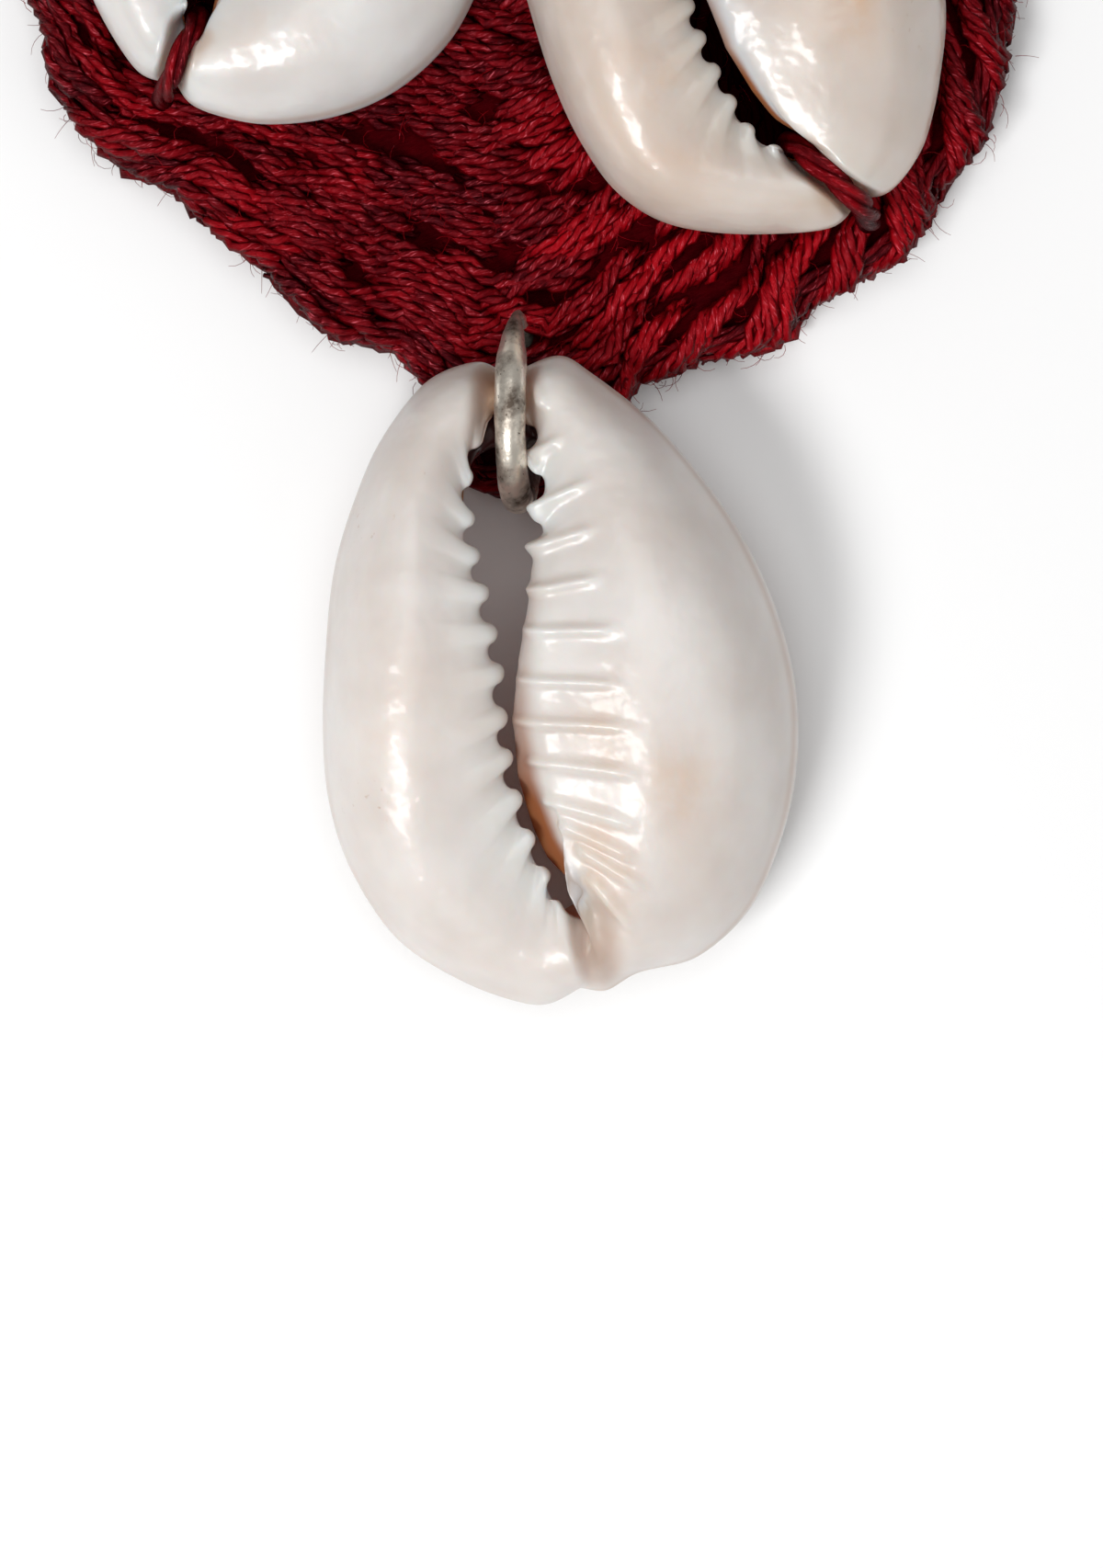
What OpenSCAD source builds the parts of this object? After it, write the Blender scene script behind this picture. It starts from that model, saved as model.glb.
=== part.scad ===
// Cowrie shell earring that lies on its flat crocheted back.
// A round medallion of plied yarn carries two cowries sewn side by side.
// A third cowrie hangs from a jump ring, and an ear wire goes through the other edge.
// Millimetres. The origin is the middle of the medallion's back face, with the hanging cowrie towards -Y.

/* [Medallion] */
// Thickness of the crochet under the sewn cowries
cloth_thickness = 2.6; // [2.2:0.1:3]
// Height of the raised outer round
edge_height = 3.2; // [2.8:0.1:3.6]
// Width of one crochet round
round_width = 2.3; // [2:0.1:2.6]

/* [Hanging cowrie] */
// Length from the narrow end to the wide end
drop_length = 22; // [21:0.25:22.5]
// Lift of the narrow end, which lies on the cloth, in degrees
drop_tilt = 6.1; // [5.9:0.1:6.3]

/* [Sewn cowries] */
// Length of the left cowrie
left_length = 16.4; // [15.5:0.1:16.6]
// Width of the left cowrie
left_width = 13.2; // [12.6:0.1:13.4]
// Length of the right cowrie
right_length = 18.7; // [18:0.1:19]
// Width of the right cowrie
right_width = 13.7; // [13:0.1:13.9]

/* [Metal] */
// Thickness of the jump ring's wire
ring_wire = 1.05; // [0.9:0.05:1.1]
// Outer diameter of the jump ring
ring_outer = 6.9; // [6.8:0.05:7]
// Thickness of the ear wire
hook_wire = 0.8; // [0.7:0.05:0.9]
// Straight length of the ear wire beside its eye
stem_length = 14; // [12:0.5:18]
// Gap across the arch, between the centres of its two legs
hook_span = 9; // [8:0.5:12]
// Straight length of the free leg, which goes through the ear
tail_length = 12; // [9:0.5:13]
// Turn of the ear wire about its eye, in degrees, so that the free leg points past the crochet
hook_turn = 35; // [33:1:45]

/* [Thread] */
// Thickness of the sewing yarn
thread_size = 0.62; // [0.5:0.02:0.64]

/* [Hidden] */

// Air left between two pieces that touch on the real thing
gap = 0.12;

// Half outlines of a cowrie of the reference size, seen from its toothed side.
// Each goes from the notch in the wide end, at -Y, to the groove in the narrow end. Columns: x, y
reference_length = 22;
reference_width = 16;
lip_side = [
    [0.6, -10.4], [-0.9, -11.0], [-3.4, -10.2], [-5.6, -8.75], [-7.1, -6.55], [-7.85, -4.3], [-8.1, -1.8],
    [-8.0, 0.9], [-7.75, 3.5], [-7.1, 5.9], [-6.1, 8.2], [-4.6, 10.1], [-2.9, 10.8], [-1.85, 10.3]
];
whorl_side = [
    [0.6, -10.4], [1.5, -10.5], [2.6, -9.9], [4.6, -9.35], [6.3, -7.8], [7.35, -5.5], [7.9, -2.9],
    [7.85, -0.2], [7.2, 2.4], [6.1, 4.8], [4.6, 7.0], [2.9, 8.9], [1.0, 10.4], [-0.2, 11.0], [-1.85, 10.3]
];
// Edges of the toothed slit. Columns: y, x of the lip, x of the inner whorl
slit = [
    [-8.3, 0.25, 1.45], [-7.0, -0.35, 1.1], [-5, -1.15, 0], [-3, -1.75, -0.85], [-1, -2.05, -1.25],
    [1, -2.2, -1.25], [3, -2.6, -0.95], [5, -3.1, -0.85], [7, -3.1, -0.9], [8.6, -2.5, -1.2]
];
slit_low = -8.3;
slit_high = 8.6;
// Sideways shift of each sewn cowrie's slit, thread and wide notch, at even steps from bend_low to bend_high
left_bend = [0.1, -0.35, -0.8, -0.75, -0.35, -0.1, 0, 0, 0];
right_bend = [1.1, 0.4, -0.45, -0.9, -0.7, -0.45, -0.2, 0, 0];
straight = [0, 0];
bend_low = -11;
bend_high = 1;
// The shift fades to nothing at this distance from the middle line
bend_width = 8.2;
tooth_count = 13;
tooth_depth = 0.2;
columns_per_tooth = 4;
side_steps = tooth_count * columns_per_tooth;

// Heights of the reference cowrie above the edge where its back is cut open
crown_height = 6.8;
narrow_drop = 2.3;
wide_drop = 1.6;
widest_height = 2.5;
slit_drop = 1.3;
notch_depth = 1.2;
notch_reach = 0.03;
// The cut in the back follows the outline, shrunk towards this point
cut_middle_y = -0.5;
cut_outer = [0.87, 0.8];
cut_inner = [0.79, 0.74];

// Places of the cowries: x, y and turn in degrees, counterclockwise
drop_place = [1.24, -26.35];
left_place = [-7.13, -0.4, -42];
right_place = [6.91, -2.64, 20];
sewn_lift = cloth_thickness + gap;
// The wide end of the tilted cowrie rests on the ground plane
drop_lift = (10.5 * cut_outer.y + 0.5) * sin(drop_tilt) * drop_length / reference_length + 0.02;

// Outline of the crochet. Columns: angle from +X, radius
cloth_outline = [
    [0, 16.6], [30, 16.7], [60, 16.4], [90, 16.5], [120, 16.3], [150, 16.6], [180, 17.0], [192, 17.2],
    [196, 16.9], [202, 17.4], [208, 17.1], [214, 16.5], [220, 15.4], [228, 15.6], [236, 15.5], [246, 16.3],
    [254, 16.1], [262, 17.6], [266, 19.6], [270, 19.1], [274, 20.0], [278, 18.4], [283, 17.0], [290, 16.9],
    [300, 17.5], [305, 17.0], [317, 17.8], [325, 17.3], [332, 17.8], [343, 17.2], [352, 16.7], [360, 16.6]
];
cloth_steps = 96;
rib_height = 0.16;
rounds = 7;
// The cloth under the hanging cowrie's narrow end is pressed down along a slope
press_y = -17.45;
press_z = 1.66;
press_slope = 0.6;
press_low = 1.22;

// The jump ring stands across the cloth's edge and leans towards -X
ring_middle = [-0.24, press_y - 0.1, 3.5];
ring_lean = -5.7;
ring_radius = (ring_outer - ring_wire) / 2;

// The ear wire's eye stands across the opposite edge, and the rest slopes down to the ground plane
eye_radius = 2.3;
eye_middle = [0, 17, eye_radius + hook_wire / 2 + 0.05];
hook_reach = stem_length + hook_span / 2;
hook_slope = asin((eye_middle.z - hook_wire / 2 - 0.05) / hook_reach);

// Routes of the sewing yarn over a reference cowrie's ends. Columns: x, y, height
low_route = [
    [0.48, -7.3, 0.05], [0.48, -7.35, 2.2], [0.54, -7.4, 3.9], [0.78, -8.1, 4.95], [0.68, -9.3, 5.05],
    [0.62, -10.3, 4.8], [0.62, -11.1, 3.7], [0.64, -11.4, 2.2], [0.64, -11.4, 0.9]
];
high_route = [
    [-1.9, 6.8, 0.05], [-1.9, 6.9, 1.8], [-1.9, 7.25, 3.4], [-1.88, 8.0, 4.3], [-1.86, 9.0, 4.42],
    [-1.86, 10.1, 4.25], [-1.86, 11.0, 3.4], [-1.86, 11.3, 2.1], [-1.86, 11.3, 0.9]
];
thread_sides = 8;

// A point on a smooth curve through the rows, for t from 0 to 1
function row(rows, i) = rows[max(0, min(len(rows) - 1, i))];
function blend(a, b, c, d, f) =
    0.5 * (2 * b + (c - a) * f + (2 * a - 5 * b + 4 * c - d) * f * f + (3 * b - a - 3 * c + d) * f * f * f);
function along(rows, t) =
    let (at = t * (len(rows) - 1), i = min(len(rows) - 2, floor(at)))
    blend(row(rows, i - 1), row(rows, i), row(rows, i + 1), row(rows, i + 2), at - i);

function mix(a, b, f) = a + (b - a) * f;

// A reference point moved sideways by its shell's bend
function bent(p, bend) =
    let (t = max(0, min(1, (p.y - bend_low) / (bend_high - bend_low))))
    [p.x + along(bend, t) * max(0, 1 - pow(p.x / bend_width, 2)), p.y, p.z];

function column(table, key, value) = [for (entry = table) [entry[key], entry[value]]];

// One edge of the slit, with its teeth pointing into the gap
function slit_point(t, side) =
    let (y = mix(slit_low, slit_high, t), edge = lookup(y, column(slit, 0, side < 0 ? 1 : 2)))
    let (ends = min(1, 12 * t, 12 * (1 - t)), bite = side < 0 ? 1 : 0.6)
    let (middle = (lookup(y, column(slit, 0, 1)) + lookup(y, column(slit, 0, 2))) / 2)
    [mix(middle, edge, t == 0 || t == 1 ? 0 : 1) - side * bite * ends * tooth_depth * cos(360 * tooth_count * t), y];

// Crown height of the toothed face, lower at both ends and in their notches
function crown(t, y) =
    let (away = abs(y) / 11, drop = y > 0 ? narrow_drop : wide_drop)
    crown_height - drop * pow(away, 2.2)
    - notch_depth * exp(-pow(t / notch_reach, 2)) - notch_depth * exp(-pow((1 - t) / notch_reach, 2));

function shrunk(p, k) = [p.x * k.x, cut_middle_y + (p.y - cut_middle_y) * k.y];

// Cross section of the shell wall at one station, from the outer edge of the cut, over the flank,
// the toothed face and the slit's edge, and back inside to the inner edge of the cut
function section(t, side) =
    let (edge = along(side < 0 ? lip_side : whorl_side, t), lip = slit_point(t, side))
    let (outer = shrunk(edge, cut_outer), inner = shrunk(edge, cut_inner), top = crown(t, edge.y))
    let (fall = slit_drop * (1 - 0.8 * pow(abs(edge.y) / 11, 2)), rim = top - fall)
    [
        [outer.x, outer.y, 0],
        [mix(outer.x, edge.x, 0.74), mix(outer.y, edge.y, 0.74), 0.38 * widest_height],
        [edge.x, edge.y, widest_height],
        [mix(edge.x, lip.x, 0.08), mix(edge.y, lip.y, 0.08), mix(widest_height, top, 0.5)],
        [mix(edge.x, lip.x, 0.24), mix(edge.y, lip.y, 0.24), mix(widest_height, top, 0.86)],
        [mix(edge.x, lip.x, 0.48), mix(edge.y, lip.y, 0.48), top],
        [mix(edge.x, lip.x, 0.76), mix(edge.y, lip.y, 0.76), top - 0.25 * fall],
        [mix(edge.x, lip.x, 0.93), mix(edge.y, lip.y, 0.93), top - 0.6 * fall],
        [lip.x, lip.y, rim],
        [mix(lip.x, inner.x, 0.12), mix(lip.y, inner.y, 0.12), 0.9 * rim],
        [mix(lip.x, inner.x, 0.55), mix(lip.y, inner.y, 0.55), 0.84 * rim],
        [mix(lip.x, inner.x, 0.9), mix(lip.y, inner.y, 0.9), 0.48 * rim],
        [inner.x, inner.y, 0]
    ];

// Closed surface from rings of points that follow one another around a loop
function loop_faces(rings, per_ring) = [
    for (i = [0:rings - 1], j = [0:per_ring - 1])
        let (a = i * per_ring, b = ((i + 1) % rings) * per_ring, k = (j + 1) % per_ring)
        each [[a + j, b + j, b + k], [a + j, b + k, a + k]]
];

module cowrie(shell_length, shell_width, bend) {
    sections = [
        for (i = [0:side_steps - 1]) section(i / side_steps, -1),
        for (i = [0:side_steps - 1]) section(1 - i / side_steps, 1)
    ];
    wide = shell_width / reference_width;
    long = shell_length / reference_length;
    points = [
        for (ring = sections, p = ring)
            let (q = bent(p, bend))
            [q.x * wide, q.y * long, q.z * (wide + long) / 2]
    ];
    polyhedron(points, loop_faces(len(sections), len(sections[0])), convexity = 8);
}

module sewn(place) {
    translate([place.x, place.y, sewn_lift])
        rotate([0, 0, place.z])
            children();
}

// Round cord of yarn swept along a smooth curve through the route's rows
module yarn(route, wide, long, bend) {
    tall = (wide + long) / 2;
    stations = 14;
    spine = [
        for (i = [0:stations])
            let (p = bent(along(route, i / stations), bend))
            [p.x * wide, p.y * long, p.z * tall]
    ];
    rings = [
        for (i = [0:stations])
            let (d = spine[min(stations, i + 1)] - spine[max(0, i - 1)])
            let (across = [0, -d.z, d.y] / norm([0, -d.z, d.y]))
            [
                for (k = [0:thread_sides - 1])
                    let (angle = 360 * k / thread_sides)
                    spine[i] + thread_size / 2 * (cos(angle) * [1, 0, 0] + sin(angle) * across)
            ]
    ];
    walls = [
        for (i = [0:stations - 1], k = [0:thread_sides - 1])
            let (a = i * thread_sides, b = a + thread_sides, n = (k + 1) % thread_sides)
            each [[a + k, b + n, b + k], [a + k, a + n, b + n]]
    ];
    first = [for (k = [thread_sides - 1:-1:0]) k];
    last = [for (k = [0:thread_sides - 1]) stations * thread_sides + k];
    polyhedron([for (ring = rings) each ring], concat([first], walls, [last]), convexity = 4);
}

// Height of the crochet's upper face at a distance r from the middle, where its outline is at edge
function cloth_top(r, edge, y) =
    let (in_edge = edge - r, low = max(press_low, press_z + press_slope * (y - press_y)))
    let (rib = rib_height * (1 - cos(360 * in_edge / round_width)) / 2)
    let (rise = in_edge < round_width ? (edge_height - cloth_thickness) * sin(180 * in_edge / round_width) : 0)
    min(cloth_thickness - rib_height + rib + rise, low);

// One spoke of the crochet, from near its middle out over the upper face and down the rounded edge
function spoke(angle) =
    let (edge = lookup(angle, cloth_outline), dir = [cos(angle), sin(angle)])
    let (top = [for (k = [1:2 * rounds - 1]) (edge - round_width * 0.2) * k / (2 * rounds - 1)])
    let (shoulder = cloth_top(edge - 0.2 * round_width, edge, edge * dir.y))
    [
        for (r = top) [r * dir.x, r * dir.y, cloth_top(r, edge, r * dir.y)],
        [edge * dir.x, edge * dir.y, 0.55 * shoulder],
        [(edge - 0.5) * dir.x, (edge - 0.5) * dir.y, 0]
    ];

module cloth_body() {
    spokes = [for (i = [0:cloth_steps - 1]) spoke(360 * i / cloth_steps)];
    per = len(spokes[0]);
    points = concat([[0, 0, cloth_thickness]], [[0, 0, 0]], [for (s = spokes) each s]);
    walls = [
        for (i = [0:cloth_steps - 1], j = [0:per - 2])
            let (a = 2 + i * per + j, b = 2 + ((i + 1) % cloth_steps) * per + j)
            each [[a, a + 1, b + 1], [a, b + 1, b]]
    ];
    caps = [
        for (i = [0:cloth_steps - 1])
            let (a = 2 + i * per, b = 2 + ((i + 1) % cloth_steps) * per)
            each [[0, a, b], [1, b + per - 1, a + per - 1]]
    ];
    polyhedron(points, [for (f = concat(walls, caps)) [f[2], f[1], f[0]]], convexity = 6);
}

// A ring of round wire whose plane is upright and holds the Y direction
module wire_ring(radius, wire) {
    rotate([0, 90, 0])
        rotate_extrude($fn = 72)
            translate([radius, 0])
                circle(d = wire, $fn = 24);
}

module ring_place() {
    translate(ring_middle)
        rotate([0, ring_lean, 0])
            children();
}

module hook_place() {
    translate(eye_middle)
        rotate([0, 0, hook_turn])
            children();
}

module medallion() {
    color("#7a0f1e")
        difference() {
            cloth_body();
            ring_place() wire_ring(ring_radius, ring_wire + 2 * gap);
            hook_place() wire_ring(eye_radius, hook_wire + 2 * gap);
        }
}

module shell_left() {
    color("#ece4dc")
        sewn(left_place)
            cowrie(left_length, left_width, left_bend);
}

module shell_right() {
    color("#ece2d8")
        sewn(right_place)
            cowrie(right_length, right_width, right_bend);
}

module shell_drop() {
    color("#eae3df")
        translate([drop_place.x, drop_place.y, drop_lift])
            rotate([drop_tilt, 0, 0])
                cowrie(drop_length, drop_length * reference_width / reference_length, straight);
}

module jump_ring() {
    color("#8c8478")
        ring_place()
            wire_ring(ring_radius, ring_wire);
}

module ear_hook() {
    color("#a9a49b")
        hook_place() {
            wire_ring(eye_radius, hook_wire);
            translate([0, eye_radius, 0])
                rotate([-hook_slope, 0, 0]) {
                    rotate([-90, 0, 0]) cylinder(d = hook_wire, h = stem_length, $fn = 32);
                    translate([hook_span / 2, stem_length, 0])
                        rotate_extrude(angle = 180, $fn = 72)
                            translate([hook_span / 2, 0])
                                circle(d = hook_wire, $fn = 32);
                    translate([hook_span, stem_length - tail_length, 0])
                        rotate([-90, 0, 0]) cylinder(d = hook_wire, h = tail_length, $fn = 32);
                }
        }
}

module thread_left_low() {
    color("#64101c")
        sewn(left_place)
            yarn(low_route, left_width / reference_width, left_length / reference_length, left_bend);
}

module thread_left_high() {
    color("#64101c")
        sewn(left_place)
            yarn(high_route, left_width / reference_width, left_length / reference_length, left_bend);
}

module thread_right_low() {
    color("#64101c")
        sewn(right_place)
            yarn(low_route, right_width / reference_width, right_length / reference_length, right_bend);
}

module thread_right_high() {
    color("#64101c")
        sewn(right_place)
            yarn(high_route, right_width / reference_width, right_length / reference_length, right_bend);
}

medallion();
shell_left();
shell_right();
shell_drop();
jump_ring();
ear_hook();
thread_left_low();
thread_left_high();
thread_right_low();
thread_right_high();
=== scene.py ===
"""Cowrie shell earring lying on a pale floor: crocheted medallion, three cowries, jump ring and ear wire.

Lengths are millimetres in the part's own frame until a mesh is made, which is in metres.
"""
import logging
import math
from dataclasses import dataclass, field
from enum import Enum

import bpy
import numpy as np
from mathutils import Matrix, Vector


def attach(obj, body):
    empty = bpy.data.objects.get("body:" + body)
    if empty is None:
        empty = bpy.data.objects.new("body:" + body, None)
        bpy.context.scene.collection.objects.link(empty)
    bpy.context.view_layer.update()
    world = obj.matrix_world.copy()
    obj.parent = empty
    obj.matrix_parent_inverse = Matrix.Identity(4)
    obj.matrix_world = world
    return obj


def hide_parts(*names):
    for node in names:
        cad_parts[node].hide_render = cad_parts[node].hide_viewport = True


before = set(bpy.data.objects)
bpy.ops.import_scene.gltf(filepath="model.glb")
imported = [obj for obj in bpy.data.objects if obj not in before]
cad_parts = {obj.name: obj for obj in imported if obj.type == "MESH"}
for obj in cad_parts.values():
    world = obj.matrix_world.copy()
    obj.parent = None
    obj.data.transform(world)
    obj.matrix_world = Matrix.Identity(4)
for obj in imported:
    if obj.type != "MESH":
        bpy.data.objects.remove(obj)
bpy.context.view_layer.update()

LOG = logging.getLogger("earring")
MM = 0.001
UP = np.array([0.0, 0.0, 1.0])
ACROSS = np.array([1.0, 0.0, 0.0])

# Photo: the middle of the medallion's back is at this pixel, and one pixel is this many millimetres
PIXEL_MM = 0.031
MEDALLION_PIXEL = (572.0, -118.0)
PHOTO_SIZE = (1200, 1706)

# Sizes shared with the solids
CLOTH_THICKNESS = 2.6
GAP = 0.12
RING_WIRE = 1.05
RING_OUTER = 6.9
EAR_WIRE = 0.8
# The hanging cowrie's end presses the crochet down to a slope through PRESS_Z at PRESS_Y, but no lower than PRESS_LOW
PRESS_Y = -17.45
PRESS_Z = 1.66
PRESS_SLOPE = 0.6
PRESS_LOW = 1.22
# Every yarn has three plies, and is this many plies across
PLIES = 3
PLIES_ACROSS = 2.155


def spline(rows: np.ndarray, t: np.ndarray) -> np.ndarray:
    """Smooth curve through the rows, Catmull-Rom: a cubic between rows b and c, with slopes (c-a)/2 and (d-b)/2.

    Args:
        rows: points or numbers along the first axis, evenly spaced in t.
        t: places on the curve, from 0 to 1.

    Returns:
        One row for each t.
    """
    rows = np.asarray(rows, float)
    at = np.clip(t, 0.0, 1.0) * (len(rows) - 1)
    low = np.minimum(at.astype(int), len(rows) - 2)
    f = (at - low).reshape((-1,) + (1,) * (rows.ndim - 1))
    a, b, c, d = (rows[np.clip(low + k, 0, len(rows) - 1)] for k in (-1, 0, 1, 2))
    return 0.5 * (2 * b + (c - a) * f + (2 * a - 5 * b + 4 * c - d) * f**2 + (3 * b - a - 3 * c + d) * f**3)


def smooth_step(low: float, high: float, value: np.ndarray) -> np.ndarray:
    """0 below low, 1 above high, and 3f^2 - 2f^3 between them."""
    f = np.clip((value - low) / (high - low), 0.0, 1.0)
    return f * f * (3 - 2 * f)


def unit(vectors: np.ndarray) -> np.ndarray:
    """Vectors scaled to length 1."""
    return vectors / np.maximum(np.linalg.norm(vectors, axis=-1, keepdims=True), 1e-12)


def turned(points: np.ndarray, degrees: float, axis: int) -> np.ndarray:
    """Points turned about the X, Y or Z axis: the two other coordinates mix by the cosine and sine.

    Args:
        points: array whose last axis is x, y, z.
        degrees: turn, counterclockwise.
        axis: 0, 1 or 2.

    Returns:
        The turned points.
    """
    a, b = [(1, 2), (2, 0), (0, 1)][axis]
    c, s = math.cos(math.radians(degrees)), math.sin(math.radians(degrees))
    out = points.copy()
    out[..., a] = c * points[..., a] - s * points[..., b]
    out[..., b] = s * points[..., a] + c * points[..., b]
    return out


def polar(radius: np.ndarray, angle: np.ndarray, height: np.ndarray) -> np.ndarray:
    """Points at x = r cos a, y = r sin a and a height, with xyz along the last axis."""
    return np.stack(np.broadcast_arrays(radius * np.cos(angle), radius * np.sin(angle), height), axis=-1)


def grid_quads(rows: int, columns: int, wrap_rows: bool, wrap_columns: bool) -> np.ndarray:
    """Quads of a grid of points: cell (i, j) joins its four corners, and wraps where asked.

    Args:
        rows: points down.
        columns: points across.
        wrap_rows: the last row joins the first.
        wrap_columns: the last column joins the first.

    Returns:
        Vertex numbers, four in each row.
    """
    i, j = np.meshgrid(np.arange(rows if wrap_rows else rows - 1),
                       np.arange(columns if wrap_columns else columns - 1), indexing="ij")
    i, j = i.ravel(), j.ravel()
    n, m = (i + 1) % rows, (j + 1) % columns
    return np.stack([i * columns + j, i * columns + m, n * columns + m, n * columns + j], axis=1)


def cap_quads(sides: int) -> np.ndarray:
    """Quads that close a ring of an even number of points, as strips straight across it."""
    j = np.arange((sides - 2) // 2)
    return np.stack([j, j + 1, sides - 2 - j, sides - 1 - j], axis=1)


def outward(points: np.ndarray, quads: np.ndarray) -> np.ndarray:
    """Quads turned over if the closed surface's signed volume is negative: the sum of a . (b x c) + a . (c x d).

    Args:
        points: the surface's points.
        quads: vertex numbers, four in each row.

    Returns:
        The quads, all facing outwards.
    """
    a, b, c, d = (points[quads[:, k]] for k in range(4))
    volume = np.einsum("ij,ij->i", a, np.cross(b, c)).sum() + np.einsum("ij,ij->i", a, np.cross(c, d)).sum()
    return quads if volume > 0 else quads[:, ::-1]


def length_along(paths: np.ndarray) -> np.ndarray:
    """Length from each path's start to each of its points, as the running sum of its steps."""
    steps = np.linalg.norm(np.diff(paths, axis=1), axis=2)
    return np.concatenate([np.zeros((len(paths), 1)), np.cumsum(steps, axis=1)], axis=1)


def square_on(ahead: np.ndarray, across: np.ndarray) -> tuple[np.ndarray, np.ndarray]:
    """Two directions square to the travel: side is travel x a fixed direction, and lift is side x travel."""
    side = unit(np.cross(ahead, across))
    return side, np.cross(side, ahead)


def linked(name: str, data: bpy.types.ID) -> bpy.types.Object:
    """A new object in the scene that holds the data."""
    made = bpy.data.objects.new(name, data)
    bpy.context.scene.collection.objects.link(made)
    return made


def stand_in(made: bpy.types.Object, node: str) -> bpy.types.Object:
    """A finished piece put on the root body, in place of a CAD node.

    Args:
        made: the piece.
        node: the CAD node that it replaces.

    Returns:
        The same piece.
    """
    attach(made, "root")
    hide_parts(node)
    return made


@dataclass
class Surface:
    """A mesh in the making: points in millimetres, quads, one UV pair and named numbers at each point."""

    points: np.ndarray
    quads: np.ndarray
    uv: np.ndarray
    numbers: dict[str, np.ndarray] = field(default_factory=dict)

    @staticmethod
    def joined(parts: list["Surface"]) -> "Surface":
        """One surface from several.

        Args:
            parts: surfaces with the same named numbers.

        Returns:
            Their points and quads one after another.
        """
        starts = np.cumsum([0] + [len(p.points) for p in parts[:-1]])
        return Surface(
            np.concatenate([p.points for p in parts]),
            np.concatenate([p.quads + s for p, s in zip(parts, starts)]),
            np.concatenate([p.uv for p in parts]),
            {k: np.concatenate([p.numbers[k] for p in parts]) for k in parts[0].numbers},
        )

    def piece(self, name: str, material: bpy.types.Material) -> bpy.types.Object:
        """Makes the Blender object, at the origin, smooth shaded.

        Args:
            name: the object's name.
            material: its finish.

        Returns:
            The new object, linked to the scene.
        """
        mesh = bpy.data.meshes.new(name)
        mesh.vertices.add(len(self.points))
        mesh.vertices.foreach_set("co", (self.points * MM).astype(np.float32).ravel())
        mesh.loops.add(self.quads.size)
        mesh.loops.foreach_set("vertex_index", self.quads.astype(np.int32).ravel())
        mesh.polygons.add(len(self.quads))
        mesh.polygons.foreach_set("loop_start", np.arange(0, self.quads.size, 4, dtype=np.int32))
        mesh.update(calc_edges=True)
        mesh.polygons.foreach_set("use_smooth", np.ones(len(self.quads), bool))
        layer = mesh.uv_layers.new(name="along")
        layer.data.foreach_set("uv", self.uv[self.quads.ravel()].astype(np.float32).ravel())
        for key, values in self.numbers.items():
            mesh.attributes.new(key, "FLOAT", "POINT").data.foreach_set("value", values.astype(np.float32))
        mesh.materials.append(material)
        return linked(name, mesh)


def swept(paths: np.ndarray, radii: np.ndarray, sides: int, across: np.ndarray, closed: bool = False,
          **numbers: np.ndarray) -> Surface:
    """Round tubes along many paths at once.

    At each point of a path, the ring is centre + radius * (cos a * side + sin a * lift), where side is the
    direction of travel crossed with a fixed direction, and lift is side crossed with travel.

    Args:
        paths: tubes by points by xyz.
        radii: tubes by points.
        sides: points in a ring, an even number.
        across: the fixed direction, never along a path.
        closed: each path joins its own start.
        **numbers: named numbers, tubes by points or tubes by 1.

    Returns:
        The closed tubes, with UV of length along and length around, in millimetres, and a number named crest that
        is 1 where the surface faces straight up or down and 0 where it is upright.
    """
    count, stations = paths.shape[:2]
    ahead = np.roll(paths, -1, axis=1) - np.roll(paths, 1, axis=1)
    if not closed:
        ahead[:, 0], ahead[:, -1] = paths[:, 1] - paths[:, 0], paths[:, -1] - paths[:, -2]
    side, lift = square_on(unit(ahead), across)
    angle = np.arange(sides) * 2 * np.pi / sides
    ring = np.cos(angle)[:, None] * side[:, :, None] + np.sin(angle)[:, None] * lift[:, :, None]
    points = (paths[:, :, None] + radii[:, :, None, None] * ring).reshape(-1, 3)
    one = grid_quads(stations, sides, closed, True)[:, ::-1]
    if not closed:
        cap = cap_quads(sides)
        one = np.concatenate([one, cap, cap[:, ::-1] + (stations - 1) * sides])
    quads = (one[None] + (np.arange(count) * stations * sides)[:, None, None]).reshape(-1, 4)
    uv = np.zeros((count, stations, sides, 2))
    # The last term starts each tube's pattern at another place
    uv[..., 0] = length_along(paths)[:, :, None] + 7.3 * np.arange(count)[:, None, None]
    uv[..., 1] = angle * np.mean(radii)
    named = {k: np.broadcast_to(v[..., None], (count, stations, sides)).ravel() for k, v in numbers.items()}
    named["crest"] = np.abs(ring[..., 2]).ravel()
    return Surface(points, quads, uv.reshape(-1, 2), named)


def plied(paths: np.ndarray, size: float, twist: float, across: np.ndarray, start: np.ndarray) -> np.ndarray:
    """Centre lines of the plies of a yarn.

    Each ply runs on a helix round the yarn's path: its angle is start + 2 pi * (length * twist + ply / plies).

    Args:
        paths: yarns by points by xyz.
        size: the yarn's diameter.
        twist: turns for each millimetre.
        across: a fixed direction, never along a path.
        start: angle at the start of each yarn.

    Returns:
        Yarns times plies by points by xyz.
    """
    side, lift = square_on(unit(np.gradient(paths, axis=1)), across)
    ply_size = size / (1 + 2 / math.sqrt(3))
    helix = ply_size / math.sqrt(3)
    turns = length_along(paths)[:, None] * twist + np.arange(PLIES)[None, :, None] / PLIES
    phase = 2 * np.pi * turns + start[:, None, None]
    offset = np.cos(phase)[..., None] * side[:, None] + np.sin(phase)[..., None] * lift[:, None]
    return (paths[:, None] + helix * offset).reshape(-1, paths.shape[1], 3)


# Finishes


def socket(node: bpy.types.Node, name: str) -> bpy.types.NodeSocket:
    """The node's enabled input of that name."""
    return next(s for s in node.inputs if s.name == name and s.enabled)


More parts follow.
